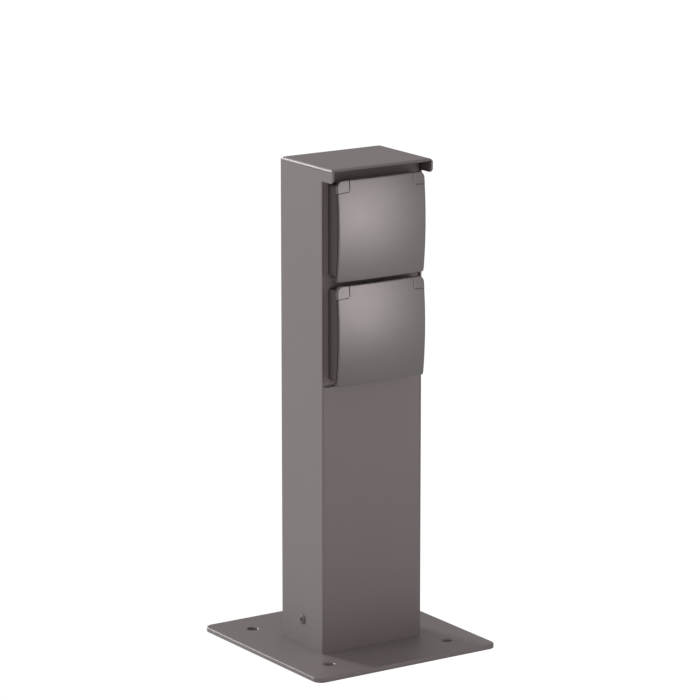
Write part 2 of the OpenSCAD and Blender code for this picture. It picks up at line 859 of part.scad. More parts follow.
// Cover with the dish, its skirt standing on the frame's floor
module cover(mid) {
    slot_half = clip_w / 2 + loose_play;
    color(lid_grey) at_dish(mid) difference() {
        union() {
            slab(cover_reach - cover_t, cover_reach) cover_outline();
            slab(frame_floor, cover_reach - cover_t) difference() {
                cover_outline();
                square([2 * (cover_half - cover_skirt), cover_h - 2 * cover_skirt], center = true);
            }
            translate([0, 0, dish_back]) cylinder(r = dish_outer_r, h = cover_reach - cover_t - dish_back);
        }
        translate([0, 0, dish_floor]) cylinder(r = dish_r, h = dish_depth + cut);
        for (side = [-1, 1]) translate([side * pin_hole_pitch / 2, 0, dish_back - cut])
            cylinder(d = pin_hole_d, h = dish_floor_t + 2 * cut);
        slab(dish_back - cut, dish_floor + cut) circle(d = small_d + 2 * loose_play);
        for (side = [0, 1]) mirror([0, side, 0])
            slab(dish_back - cut, clip_front + loose_play)
                span(-slot_half, slot_half, dish_r - clip_in - clip_slot_play, dish_outer_r + cut);
    }
}

module centre_screw(mid) {
    length = dish_floor - base_floor + centre_screw_l - cut;
    color(steel) at_dish(mid) translate([0, 0, dish_floor])
        slotted_screw(small_head_d / 2, small_head_h, small_d / 2, length);
}

// Hinge caps: the fixed squares in the lid's top corners, each with a block behind it that holds the pin
module hinge_caps(mid) {
    cap_low = lid_h / 2 - cap_h;
    color(lid_grey) facing(mid) for (side = [0, 1]) mirror([side, 0, 0]) difference() {
        intersection() {
            bow_solid(0, -cut);
            slab(cap_back, lid_reach) cap_outline(cap_low);
            hinge_rod(cap_x - cut, lid_w, cap_turn_r);
        }
        intersection() {
            bow_solid(lid_t, -lid_reach);
            slab(cap_back - cut, lid_reach) span(cap_block_x, lid_w, 0, lid_h);
        }
        hinge_rod(cap_x - cut, cap_block_x - pin_end, pin_d / 2 + fixed_play);
    }
}

// Front view of the right hinge cap, its outer top corner rounded
module cap_outline(low) {
    top = lid_h / 2;
    edge = lid_w / 2;
    span(cap_x, edge - cap_corner_r, low, top);
    span(cap_x, edge, low, top - cap_corner_r);
    translate([edge - cap_corner_r, top - cap_corner_r]) circle(r = cap_corner_r);
}

module hinge_pin(mid) {
    half = cap_block_x - pin_end - fixed_play;
    color(steel) facing(mid) hinge_rod(-half, half, pin_d / 2);
}

// Point of the spring's helix after a number of turns, as [x, y, z] round the hinge axis
function spring_point(turns) = [
    turns * spring_pitch - spring_half,
    spring_r * sin(360 * turns),
    -spring_r * cos(360 * turns)
];

// Spring round the pin: a helix with one leg down to the frame's floor and one leg behind the lid
module lid_spring(mid) {
    floor_z = frame_floor - hinge_reach + spring_wire / 4;
    lid_z = lid_reach - lid_t - sag(hinge_y - spring_leg) - hinge_reach - spring_wire / 2 - spring_touch;
    spring_path = [
        [-spring_half, -spring_foot, floor_z],
        [-spring_half, -spring_knee, -spring_r],
        for (i = [0 : (spring_turns + 0.5) * spring_rings]) spring_point(i / spring_rings),
        [spring_half, -spring_leg, lid_z]
    ];
    last = len(spring_path) - 1;
    points = [
        for (i = [0 : last], s = [0 : spring_sides - 1])
            let (
                ahead = spring_path[min(i + 1, last)] - spring_path[max(i - 1, 0)],
                side = unit(cross(ahead, [1, 0, 0])),
                over = unit(cross(side, ahead)),
                angle = s * 360 / spring_sides
            )
            spring_path[i] + spring_wire / 2 * (side * cos(angle) + over * sin(angle))
    ];
    faces = [
        [for (s = [spring_sides - 1 : -1 : 0]) s],
        [for (s = [0 : spring_sides - 1]) last * spring_sides + s],
        for (i = [0 : last - 1], s = [0 : spring_sides - 1])
            let (
                near = i * spring_sides + s,
                next = i * spring_sides + (s + 1) % spring_sides
            )
            each [[near, next, near + spring_sides], [next, next + spring_sides, near + spring_sides]]
    ];
    color(steel) facing(mid) translate([0, hinge_y, hinge_reach]) polyhedron(points, faces);
}

// Lid: a bowed plate with flanges along its top and bottom, knuckles for the pin and a rib for the seal
module lid(mid) {
    color(lid_grey) facing(mid) difference() {
        union() {
            lid_shell();
            intersection() {
                bow_solid(lid_t / 2, -lid_reach);
                union() {
                    for (side = [0, 1]) mirror([side, 0, 0]) {
                        hinge_rod(knuckle_in, knuckle_out, knuckle_r);
                        slab(hinge_reach, lid_reach)
                            span(knuckle_in, knuckle_out, hinge_y - knuckle_r, hinge_y + knuckle_r);
                    }
                    translate([0, dish_y, 0])
                        tube(seal_back + seal_t, lid_reach, rib_mid + rib_half, rib_mid - rib_half);
                }
            }
        }
        hinge_rod(-lid_w, lid_w, pin_d / 2 + pin_play);
    }
}

// The lid's plate with its flanges, cut out at its top for the hinge caps and the spring
module lid_shell() {
    back = lid_reach - lid_flange - sag(lid_edge_y);
    spring_room = spring_half + spring_wire;
    spring_top = hinge_y + spring_r + spring_wire / 2 + spring_play;
    difference() {
        intersection() {
            difference() {
                bow_solid(0, back);
                bow_solid(lid_t, -lid_reach);
            }
            slab(-lid_reach, lid_reach + cut) lid_outline();
        }
        for (side = [0, 1]) mirror([side, 0, 0]) {
            hinge_rod(knuckle_out, lid_w, lid_turn_r);
            slab(-lid_reach, lid_reach + cut) span(knuckle_out, lid_w, hinge_y, lid_h);
        }
        slab(-lid_reach, hinge_reach + spring_r) span(-spring_room, spring_room, 0, spring_top);
    }
}

// Set-back of the lid's bow at a height from its middle
function sag(y) = lid_bow_up - sqrt(pow(lid_bow_up, 2) - pow(y, 2));

module lid_outline() {
    rounded_square(lid_w, lid_h, lid_corner_r);
}

module lid_seal(mid) {
    color(black_rubber) at_dish(mid)
        tube(seal_back, seal_back + seal_t, rib_mid + seal_w / 2, rib_mid - seal_w / 2);
}

base_plate();
left_foot_angle();
right_foot_angle();
foot_screws();
cable_grommet();
post_tube();
roof_plate();
post_fixing_screws();
carrier_plate();
terminal_bracket();
terminal_block();
terminal_screws();
block_screws();
earth_stud();
earth_nuts();
earth_lug();
live_wires();
neutral_wires();
earth_wires();
frame_gasket(upper_mid);  // upper_frame_gasket
frame(upper_mid);  // upper_frame
frame_screws(upper_mid);  // upper_frame_screws
support_ring(upper_mid);  // upper_support_ring
ring_screws(upper_mid);  // upper_ring_screws
socket_base(upper_mid);  // upper_socket_base
contact_sleeves(upper_mid);  // upper_contact_sleeves
earth_clip(upper_mid);  // upper_earth_clip
cover(upper_mid);  // upper_cover
centre_screw(upper_mid);  // upper_centre_screw
hinge_caps(upper_mid);  // upper_hinge_caps
hinge_pin(upper_mid);  // upper_hinge_pin
lid_spring(upper_mid);  // upper_lid_spring
lid(upper_mid);  // upper_lid
lid_seal(upper_mid);  // upper_lid_seal
frame_gasket(lower_mid);  // lower_frame_gasket
frame(lower_mid);  // lower_frame
frame_screws(lower_mid);  // lower_frame_screws
support_ring(lower_mid);  // lower_support_ring
ring_screws(lower_mid);  // lower_ring_screws
socket_base(lower_mid);  // lower_socket_base
contact_sleeves(lower_mid);  // lower_contact_sleeves
earth_clip(lower_mid);  // lower_earth_clip
cover(lower_mid);  // lower_cover
centre_screw(lower_mid);  // lower_centre_screw
hinge_caps(lower_mid);  // lower_hinge_caps
hinge_pin(lower_mid);  // lower_hinge_pin
lid_spring(lower_mid);  // lower_lid_spring
lid(lower_mid);  // lower_lid
lid_seal(lower_mid);  // lower_lid_seal
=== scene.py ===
"""Dresses the garden socket post: a base plate, a post with a hood, and two sockets under bowed lids."""

import json
import logging
import math
from dataclasses import dataclass
from enum import Enum
from typing import Sequence

import bpy
import numpy as np
from mathutils.geometry import tessellate_polygon
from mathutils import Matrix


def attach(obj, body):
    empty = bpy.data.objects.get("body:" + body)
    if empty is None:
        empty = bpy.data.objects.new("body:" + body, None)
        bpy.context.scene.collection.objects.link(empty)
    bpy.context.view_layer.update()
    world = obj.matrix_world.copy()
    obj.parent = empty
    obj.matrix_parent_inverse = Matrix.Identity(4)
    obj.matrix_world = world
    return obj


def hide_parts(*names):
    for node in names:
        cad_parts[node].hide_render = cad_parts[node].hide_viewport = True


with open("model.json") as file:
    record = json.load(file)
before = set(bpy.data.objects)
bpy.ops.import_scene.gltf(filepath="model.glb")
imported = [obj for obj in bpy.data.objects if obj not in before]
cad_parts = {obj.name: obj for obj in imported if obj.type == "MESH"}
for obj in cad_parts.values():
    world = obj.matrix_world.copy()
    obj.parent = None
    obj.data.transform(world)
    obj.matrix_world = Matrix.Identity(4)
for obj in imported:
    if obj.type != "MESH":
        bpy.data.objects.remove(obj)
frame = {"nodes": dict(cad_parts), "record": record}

MM = 0.001
SHARP_TURN = math.radians(38)
# Paler colour laid on upward faces: dusting on the paint, painted light on the lids.
DUST_AND_LIGHT_COLOUR = (0.32, 0.30, 0.28, 1.0)
# Rings of a wire's domed end, as shares of its radius: how wide, and how far out
WIRE_END = ((0.0, 0.3), (0.7, 0.25))
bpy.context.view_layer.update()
LOG = logging.getLogger("socket_post")
Array = np.ndarray


class Way(Enum):
    """Directions of a shell's own three axes in the part's frame."""

    FACING = ((1, 0, 0), (0, 0, 1), (0, -1, 0))
    LEFTWARDS = ((0, 1, 0), (0, 0, 1), (-1, 0, 0))
    RIGHTWARDS = ((0, 1, 0), (0, 0, 1), (1, 0, 0))
    BACKWARDS = ((1, 0, 0), (0, 0, 1), (0, 1, 0))


def unit(rows: Array) -> Array:
    """Rows scaled to length 1."""
    return rows / np.linalg.norm(rows, axis=1, keepdims=True)


@dataclass
class Shell:
    """A surface before it becomes a mesh: points in millimetres, and faces with four and three corners."""

    points: Array
    quads: Array
    tris: Array

    @staticmethod
    def grid(points: Array, wrap: bool = False) -> "Shell":
        """Covers a grid of points with four-sided faces, which look along column way times row way.

        Args:
            points: Rows by columns by 3.
            wrap: Whether the last column joins the first.

        Returns:
            The grid's shell.
        """
        rows, cols = points.shape[:2]
        index = np.arange(rows * cols).reshape(rows, cols)
        if wrap:
            index = np.hstack([index, index[:, :1]])
        corners = [index[:-1, :-1], index[:-1, 1:], index[1:, 1:], index[1:, :-1]]
        quads = np.stack(corners, axis=-1).reshape(-1, 4)
        return Shell(points.reshape(-1, 3), quads, np.zeros((0, 3), int))

    @staticmethod
    def cap(loops: Sequence[Array], up: bool) -> "Shell":
        """Fills the level space inside the first loop and outside the others with triangles.

        Args:
            loops: Closed lines of points, all on one level.
            up: Whether the faces look along the third axis or against it.

        Returns:
            The cap's shell.
        """
        points = np.vstack(loops)
        level = [np.column_stack([line[:, :2], np.zeros(len(line))]).tolist() for line in loops]
        tris = np.array(tessellate_polygon(level), int)
        a, b, c = (points[tris[:, k], :2] for k in range(3))
        turn = (b - a)[:, 0] * (c - a)[:, 1] - (b - a)[:, 1] * (c - a)[:, 0]
        wrong = (turn < 0) == up
        tris[wrong] = tris[wrong][:, ::-1]
        return Shell(points, np.zeros((0, 4), int), tris)

    @staticmethod
    def joined(shells: Sequence["Shell"]) -> "Shell":
        """Puts several shells into one, each with its own points.

        Args:
            shells: The shells.

        Returns:
            The one shell.
        """
        starts = np.cumsum([0] + [len(s.points) for s in shells])
        return Shell(
            np.vstack([s.points for s in shells]),
            np.vstack([s.quads + n for s, n in zip(shells, starts)]),
            np.vstack([s.tris + n for s, n in zip(shells, starts)]),
        )

    def flipped(self) -> "Shell":
        """Turns every face round."""
        return Shell(self.points, self.quads[:, ::-1], self.tris[:, ::-1])

    def moved(self, *offset: float) -> "Shell":
        """Shifts the shell along its own axes."""
        return Shell(self.points + np.array(offset), self.quads, self.tris)

    def placed(self, origin: Sequence[float], way: Way) -> "Shell":
        """Moves the shell to the part's frame: an origin, plus each coordinate along its own direction.

        Args:
            origin: Where the shell's own origin goes.
            way: Where its own axes point.

        Returns:
            The placed shell.
        """
        axes = np.array(way.value, float)
        moved = Shell(np.array(origin, float) + self.points @ axes, self.quads, self.tris)
        return moved.flipped() if np.linalg.det(axes) < 0 else moved

    def mirrored(self) -> "Shell":
        """Reflects the shell from right to left."""
        return Shell(self.points * np.array([-1.0, 1.0, 1.0]), self.quads, self.tris).flipped()

    def welded(self, gap: float = 1e-3) -> "Shell":
        """Merges points that lie within a gap; four-sided faces that collapse become triangles or go.

        Args:
            gap: In millimetres.

        Returns:
            The welded shell.
        """
        key = np.round(self.points / gap).astype(np.int64)
        _, first, same = np.unique(key, axis=0, return_index=True, return_inverse=True)
        same = same.reshape(-1)
        quads, tris = same[self.quads], same[self.tris]
        twin = quads == np.roll(quads, -1, axis=1)
        folded = twin.sum(axis=1) == 1
        spot = np.argmax(twin[folded], axis=1)
        order = (spot[:, None] + np.array([1, 2, 3])) % 4
        tris = np.vstack([tris, np.take_along_axis(quads[folded], order, axis=1)])
        kept = (tris != np.roll(tris, -1, axis=1)).all(axis=1)
        return Shell(self.points[first], quads[~twin.any(axis=1)], tris[kept])


@dataclass
class Outline:
    """A closed line, anticlockwise round material.

    Each point has its way out, which is longer than 1 at a sharp corner.
    """

    points: Array
    outward: Array

    @staticmethod
    def polygon(corners: Sequence[Sequence[float]], radii: Sequence[float], steps: int = 8) -> "Outline":
        """Line through corners, each rounded by an arc that touches both sides, or sharp with a radius of 0.

        Args:
            corners: Places of the corners, anticlockwise.
            radii: Radius at each corner.
            steps: Faces of an arc.

        Returns:
            The outline.
        """
        places = np.array(corners, float)
        parts = [
            Outline.corner(places[i - 1], places[i], places[(i + 1) % len(places)], r, steps)
            for i, r in enumerate(radii)
        ]
        return Outline(np.vstack([p for p, _ in parts]), np.vstack([n for _, n in parts]))

    @staticmethod
    def corner(
        before: Array, place: Array, after: Array, radius: float, steps: int
    ) -> tuple[Array, Array]:
        """Points and ways out at one corner.

        Args:
            before: Corner before it.
            place: The corner.
            after: Corner after it.
            radius: Radius of its arc, or 0.
            steps: Faces of the arc.

        Returns:
            Points and ways out, as rows.
        """
        back = (before - place) / np.linalg.norm(before - place)
        ahead = (after - place) / np.linalg.norm(after - place)
        turn = -back[0] * ahead[1] + back[1] * ahead[0]
        if radius == 0:
            first = np.array([-back[1], back[0]])
            last = np.array([ahead[1], -ahead[0]])
            return place[None], ((first + last) / (1 + first @ last))[None]
        half = math.acos(np.clip(back @ ahead, -1, 1)) / 2
        middle = back + ahead
        centre = place + middle / np.linalg.norm(middle) * radius / math.sin(half)
        start = place + back * radius / math.tan(half) - centre
        sweep = math.copysign(math.pi - 2 * half, turn)
        angle = math.atan2(start[1], start[0]) + sweep * np.linspace(0, 1, steps + 1)
        round_way = np.column_stack([np.cos(angle), np.sin(angle)])
        return centre + radius * round_way, round_way * math.copysign(1, turn)

    @staticmethod
    def box(x0: float, x1: float, y0: float, y1: float, radius: float, steps: int = 8) -> "Outline":
        """Rectangle between two corners, its own corners rounded."""
        return Outline.polygon([(x0, y0), (x1, y0), (x1, y1), (x0, y1)], [radius] * 4, steps)

    @staticmethod
    def circle(x: float, y: float, radius: float, steps: int = 64) -> "Outline":
        """Circle about a place.

        Args:
            x: Place of the centre.
            y: Place of the centre.
            radius: Of the circle.
            steps: Faces round it.

        Returns:
            The outline.
        """
        angle = np.arange(steps) * 2 * np.pi / steps
        way = np.column_stack([np.cos(angle), np.sin(angle)])
        return Outline(np.array([x, y]) + radius * way, way)

    @staticmethod
    def strip(line: Array, thickness: float) -> "Outline":
        """Side view of a bent strip: a centre line set off to both sides by half the thickness.

        Args:
            line: Points of the centre line.
            thickness: Of the strip.

        Returns:
            The outline.
        """
        ahead = unit(np.gradient(line, axis=0))
        right = np.column_stack([ahead[:, 1], -ahead[:, 0]])
        points = np.vstack([line + right * thickness / 2, (line - right * thickness / 2)[::-1]])
        way = np.vstack([right, -right[::-1]])
        ends = np.array([0, len(line) - 1, len(line), 2 * len(line) - 1])
        way[ends] += np.vstack([-ahead[0], ahead[-1], ahead[-1], -ahead[0]])
        return Outline(points, way)

    def hole(self) -> "Outline":
        """The same line as the edge of a hole: run the other way round, its way out turned inwards."""
        return Outline(self.points[::-1], -self.outward[::-1])

    def resampled(self, count: int) -> "Outline":
        """The same line with points at even distances along it.

        Args:
            count: How many points.

        Returns:
            The outline.
        """
        loop = np.vstack([self.points, self.points[:1]])
        way = np.vstack([self.outward, self.outward[:1]])
        run = np.concatenate([[0], np.cumsum(np.linalg.norm(np.diff(loop, axis=0), axis=1))])
        place = np.linspace(0, run[-1], count, endpoint=False)
        points = np.column_stack([np.interp(place, run, loop[:, k]) for k in range(2)])
        outward = np.column_stack([np.interp(place, run, way[:, k]) for k in range(2)])
        return Outline(points, unit(outward))


def quarter_round(radius: float, steps: int) -> Array:
    """Rows of inset and height round an edge: a quarter circle, from the face to the side.

    Args:
        radius: Of the circle, or 0 for a sharp edge.
        steps: Faces of the quarter circle.

    Returns:
        Rows of inset and height.
    """
    if radius == 0:
        return np.zeros((1, 2))
    turn = np.linspace(0, np.pi / 2, steps + 1)
    return np.column_stack([radius * (1 - np.sin(turn)), radius * (1 - np.cos(turn))])


def plate(
    loops: Sequence[Outline],
    thickness: float,
    low_r: float,
    high_r: float,
    steps: int = 6,
    hold: float = 0.3,
) -> Shell:
    """Flat plate with rounded edges.

    Each loop is carried through rows of inset and level: a holding row on the lower face, a quarter circle up
    to the side, a quarter circle on to the upper face and a holding row there. Triangles fill both faces.

    Args:
        loops: The rim first, then the holes.
        thickness: From the lower face, at level 0, to the upper one.
        low_r: Radius of the lower edges.
        high_r: Radius of the upper edges.
        steps: Faces of each quarter circle.
        hold: Width of the row that keeps a face flat up to its rounded edge.

    Returns:
        The plate's shell.
    """
    low = quarter_round(low_r, steps)
    high = quarter_round(high_r, steps)[::-1] * np.array([1, -1]) + np.array([0, thickness])
    first = np.array([[low_r + hold, 0.0]]) if low_r else np.zeros((0, 2))
    last = np.array([[high_r + hold, thickness]]) if high_r else np.zeros((0, 2))
    rows = np.vstack([first, low, high, last])
    grids = []
    for loop in loops:
        spread = loop.points[None] - loop.outward[None] * rows[:, None, :1]
        level = np.broadcast_to(rows[:, None, 1:], spread.shape[:2] + (1,))
        grids.append(np.concatenate([spread, level], axis=2))
    shells = [Shell.grid(g, wrap=True) for g in grids]
    shells.append(Shell.cap([g[0] for g in grids], up=False))
    shells.append(Shell.cap([g[-1] for g in grids], up=True))
    return Shell.joined(shells).welded()


def lathe(profile: Sequence[Sequence[float]], steps: int = 64) -> Shell:
    """Turns a profile of radius and height about the third axis, up the outside and down the inside.

    Args:
        profile: Rows of radius and height.
        steps: Faces round it.

    Returns:
        The shell.
    """
    rows = np.array(profile, float)
    return turned(rows[:, :1].repeat(steps, axis=1), rows[:, 1])


def turned(radius: Array, height: Array) -> Shell:
    """Skin of rings about the third axis.

    Args:
        radius: Rings by angles, how far out each point lies.
        height: Level of each ring.

    Returns:
        The skin's shell.
    """
    angle = np.arange(radius.shape[1]) * 2 * np.pi / radius.shape[1]
    level = np.broadcast_to(height[:, None], radius.shape)
    points = np.stack([radius * np.cos(angle), radius * np.sin(angle), level], axis=-1)
    return Shell.grid(points, wrap=True).welded()


def tube(path: Array, radius: float, sides: int = 14) -> Shell:
    """Round wire along a path: a circle across the path's direction at each point, with slightly domed ends.

    Args:
        path: Points of the centre line, which nowhere runs along x.
        radius: Of the wire.
        sides: Faces round it.

    Returns:
        The wire's shell.
    """
    ahead = unit(np.gradient(path, axis=0))
    side = unit(np.cross(ahead, np.array([1.0, 0.0, 0.0])))
    over = np.cross(ahead, side)
    rows = np.concatenate([[0, 0], np.arange(len(path)), [-1, -1]])
    wide, out = np.array(WIRE_END).T
    size = np.concatenate([wide, np.ones(len(path)), wide[::-1]]) * radius
    push = np.concatenate([-out, np.zeros(len(path)), out[::-1]]) * radius
    angle = np.arange(sides) * 2 * np.pi / sides
    ring = side[rows, None] * np.cos(angle)[:, None] + over[rows, None] * np.sin(angle)[:, None]
    points = (path[rows] + ahead[rows] * push[:, None])[:, None] + ring * size[:, None, None]
    return Shell.grid(points, wrap=True).welded()


class Nodes:
    """Adds nodes and links to one node tree."""

    def __init__(self, tree: bpy.types.NodeTree) -> None:
        """Keeps the tree."""
        self.tree = tree

    def add(self, kind: str, **values: object) -> bpy.types.Node:
        """Adds a node.

        Args:
            kind: Its type, without the common beginning of all shader types.
            values: Properties of the node, or values and links of its inputs by name with _ for a space.

        Returns:
            The node.
        """
        node = self.tree.nodes.new("ShaderNode" + kind)
        for name, value in values.items():
            if hasattr(node, name) and name not in ("inputs", "outputs"):
                setattr(node, name, value)
            else:
                self.feed(node.inputs[name.replace("_", " ")], value)
        return node

    def feed(self, socket: bpy.types.NodeSocket, value: object) -> None:
        """Links a socket to an output, or sets its value.

        Args:
            socket: An input.
            value: An output, or a value.
        """
        if isinstance(value, bpy.types.NodeSocket):
            self.tree.links.new(value, socket)
        else:
            socket.default_value = value

    def maths(self, operation: str, *values: object) -> bpy.types.NodeSocket:
        """Result of a sum on numbers or outputs.

        Args:
            operation: Name of the sum.
            values: Numbers or outputs.

        Returns:
            The result's output.
        """
        node = self.add("Math", operation=operation)
        for socket, value in zip(node.inputs, values):
            self.feed(socket, value)
        return node.outputs[0]

    def scaled(self, colour: object, share: object) -> bpy.types.NodeSocket:
        """A colour times a number or output."""
        return self.add("VectorMath", operation="SCALE", Vector=colour, Scale=share).outputs["Vector"]

    def mixed(self, share: object, first: object, second: object) -> bpy.types.NodeSocket:
        """A colour between two others, by the share of the second.

        Args:
            share: How much of the second.
            first: A colour or output.
            second: A colour or output.

        Returns:
            The colour's output.
        """
        node = self.add("Mix", data_type="RGBA")
        for place, value in ((0, share), (6, first), (7, second)):
            self.feed(node.inputs[place], value)
        return node.outputs[2]


class Effects:
    """Shader groups that several finishes share, each built once."""

    MIDDLE = 0.5
    COARSE_SHARE = 0.35
    DULL_FROM = 0.45
    DULL_ROUGHENS = 0.6
    DUST_FOCUS = 3.0

    @staticmethod
    def open_group(
        name: str, inputs: dict[str, str], outputs: dict[str, str]
    ) -> tuple[Nodes, dict, dict]:
        """Makes an empty group.

        Args:
            name: Of the group.
            inputs: Kind of each input by name.
            outputs: Kind of each output by name.

        Returns:
            The group's nodes, the input node's outputs by name, and the output node's inputs by name.
        """
        tree = bpy.data.node_groups.new(name, "ShaderNodeTree")
        for way, sockets in (("INPUT", inputs), ("OUTPUT", outputs)):
            for label, kind in sockets.items():
                tree.interface.new_socket(label, in_out=way, socket_type="NodeSocket" + kind)
        first = tree.nodes.new("NodeGroupInput")
        last = tree.nodes.new("NodeGroupOutput")
        return Nodes(tree), {k: first.outputs[k] for k in inputs}, {k: last.inputs[k] for k in outputs}

    @staticmethod
    def grain() -> bpy.types.NodeTree:
        """Fine skin of a coat or moulding: small bumps, with colour and gloss that wander slowly.

        Returns:
            The group.
        """
        found = bpy.data.node_groups.get("fine_grain")
        if found:
            return found
        nodes, given, made = Effects.open_group(
            "fine_grain",
            {"Colour": "Color", **dict.fromkeys(("Roughness", "Grain", "Mottle", "Gloss Spread"), "Float")},
            {"Colour": "Color", "Roughness": "Float", "Height": "Float"},
        )
        place = nodes.add("TexCoord").outputs["Object"]
        coarse = nodes.maths("MULTIPLY", given["Grain"], Effects.COARSE_SHARE)
        fine = nodes.add("TexNoise", Vector=place, Scale=given["Grain"], Detail=3.0, Roughness=0.55)
        slow = nodes.add("TexNoise", Vector=place, Scale=38.0, Detail=4.0, Roughness=0.6)
        specks = nodes.add("TexNoise", Vector=place, Scale=coarse, Detail=2.0)
        wander = nodes.maths("SUBTRACT", slow.outputs["Fac"], Effects.MIDDLE)
        speck = nodes.maths("SUBTRACT", specks.outputs["Fac"], Effects.MIDDLE)
        tone = nodes.maths("MULTIPLY", nodes.maths("ADD", wander, speck), given["Mottle"])
        nodes.feed(made["Colour"], nodes.scaled(given["Colour"], nodes.maths("ADD", tone, 1.0)))
        gloss = nodes.maths("MULTIPLY", wander, given["Gloss Spread"])
        nodes.feed(made["Roughness"], nodes.maths("ADD", given["Roughness"], gloss))
        nodes.feed(made["Height"], fine.outputs["Fac"])
        return nodes.tree

    @staticmethod
    def brushing() -> bpy.types.NodeTree:
        """Fine parallel lines of drawn or plated metal, along x, with patches of a duller skin.

        Returns:
            The group.
        """
        found = bpy.data.node_groups.get("brush_lines")
        if found:
            return found
        nodes, given, made = Effects.open_group(
            "brush_lines",
            {"Colour": "Color", **dict.fromkeys(("Roughness", "Lines", "Dulling"), "Float")},
            {"Colour": "Color", "Roughness": "Float", "Height": "Float"},
        )
        place = nodes.add("TexCoord").outputs["Object"]
        along = nodes.add("Mapping", Vector=place, Scale=(0.04, 1.0, 1.0)).outputs["Vector"]
        lines = nodes.add("TexNoise", Vector=along, Scale=given["Lines"], Detail=2.0)
        patches = nodes.add("TexNoise", Vector=place, Scale=160.0, Detail=5.0, Roughness=0.65)
        patch = nodes.maths("SUBTRACT", patches.outputs["Fac"], Effects.DULL_FROM)
        dull = nodes.maths("MULTIPLY", patch, given["Dulling"])
        nodes.feed(made["Colour"], nodes.scaled(given["Colour"], nodes.maths("SUBTRACT", 1.0, dull)))
        rough = nodes.maths("MULTIPLY_ADD", dull, Effects.DULL_ROUGHENS, given["Roughness"])
        nodes.feed(made["Roughness"], rough)
        nodes.feed(made["Height"], lines.outputs["Fac"])
        return nodes.tree

    @staticmethod
    def dust() -> bpy.types.NodeTree:
        """Paler colour on what looks up, by the surface's own upward lean and a patchy noise: thin dusting at
        a small amount, painted light at a large one.

        Returns:
            The group.
        """
        found = bpy.data.node_groups.get("settled_dust_and_painted_light")
        if found:
            return found
        nodes, given, made = Effects.open_group(
            "settled_dust_and_painted_light",
            {"Colour": "Color", "Dust And Light Colour": "Color", "Amount": "Float"},
            {"Colour": "Color"},
        )
        place = nodes.add("TexCoord")
        lean = nodes.add("SeparateXYZ", Vector=place.outputs["Normal"]).outputs["Z"]
        where = place.outputs["Object"]
        patches = nodes.add("TexNoise", Vector=where, Scale=90.0, Detail=6.0, Roughness=0.7)
        up = nodes.maths("POWER", nodes.maths("MAXIMUM", lean, 0.0), Effects.DUST_FOCUS)
        laid = nodes.maths("MULTIPLY", up, patches.outputs["Fac"])
        mask = nodes.maths("MULTIPLY", laid, given["Amount"])
        nodes.feed(made["Colour"], nodes.mixed(mask, given["Colour"], given["Dust And Light Colour"]))
        return nodes.tree


class Skin(Enum):
    """Kinds of surface that a finish can have."""

    GRAINED = "grained"
    METAL = "metal"
    STRIPED = "striped"


@dataclass(frozen=True)
class Finish:
    """Colour and feel of one material."""

    name: str
    skin: Skin
    colour: tuple[float, float, float]
    roughness: float
    grain: float = 1500.0
    bump: float = 0.05
    mottle: float = 0.05
    spread: float = 0.06
    # Share of that paler colour on upward faces: dusting when small, painted light when large, as on the
    # lids.
    dust: float = 0.0
    metallic: float = 0.0
    specular: float = 0.5
    bump_depth: float = 0.0004
    second: tuple[float, float, float] = (0.5, 0.4, 0.05)
    second_from: float = 0.3

    def material(self) -> bpy.types.Material:
        """Makes the material, or finds it again.

        Returns:
            A node material on Object coordinates.
        """
        found = bpy.data.materials.get(self.name)
        if found:
            return found
        made = bpy.data.materials.new(self.name)
        made.use_nodes = True
        made.node_tree.nodes.clear()
        nodes = Nodes(made.node_tree)
        skin = self._skin(nodes)
        colour = skin.outputs["Colour"]
        # Paler colour on upward faces: a thin dusting on the paint; on the lids a painted light that lifts
        # their shaded upper flanges and top edges.
        if self.dust:
            dust = nodes.add("Group", node_tree=Effects.dust(), Colour=colour, Amount=self.dust)
            nodes.feed(dust.inputs["Dust And Light Colour"], DUST_AND_LIGHT_COLOUR)
            colour = dust.outputs["Colour"]
        bump = nodes.add(
            "Bump", Strength=self.bump, Distance=self.bump_depth, Height=skin.outputs["Height"]
        )
        shader = nodes.add(
            "BsdfPrincipled",
            Base_Color=colour,
            Metallic=self.metallic,
            Roughness=skin.outputs["Roughness"],
            Specular_IOR_Level=self.specular,
            Normal=bump.outputs["Normal"],
        )
        nodes.add("OutputMaterial", Surface=shader.outputs["BSDF"])
        return made

    def _skin(self, nodes: Nodes) -> bpy.types.Node:
        """Adds the group that makes this finish's skin.

        Args:
            nodes: The material's nodes.

        Returns:
            The group node, with outputs Colour, Roughness and Height.
        """
        if self.skin is Skin.METAL:
            skin = nodes.add("Group", node_tree=Effects.brushing(), Lines=self.grain, Dulling=self.mottle)
        else:
            skin = nodes.add("Group", node_tree=Effects.grain(), Grain=self.grain, Mottle=self.mottle)
            nodes.feed(skin.inputs["Gloss Spread"], self.spread)
        striped = self.skin is Skin.STRIPED
        nodes.feed(skin.inputs["Colour"], self._stripes(nodes) if striped else (*self.colour, 1.0))
        nodes.feed(skin.inputs["Roughness"], self.roughness)
        return skin

    def _stripes(self, nodes: Nodes) -> bpy.types.NodeSocket:
        """Two-coloured sheath: the second colour on one side of each wire, by the wire's own attribute.

        Args:
            nodes: The material's nodes.

        Returns:
            The colour's output.
        """
        side = nodes.add("Attribute", attribute_name="around").outputs["Fac"]
        mask = nodes.maths("GREATER_THAN", side, self.second_from)
        return nodes.mixed(mask, (*self.colour, 1.0), (*self.second, 1.0))


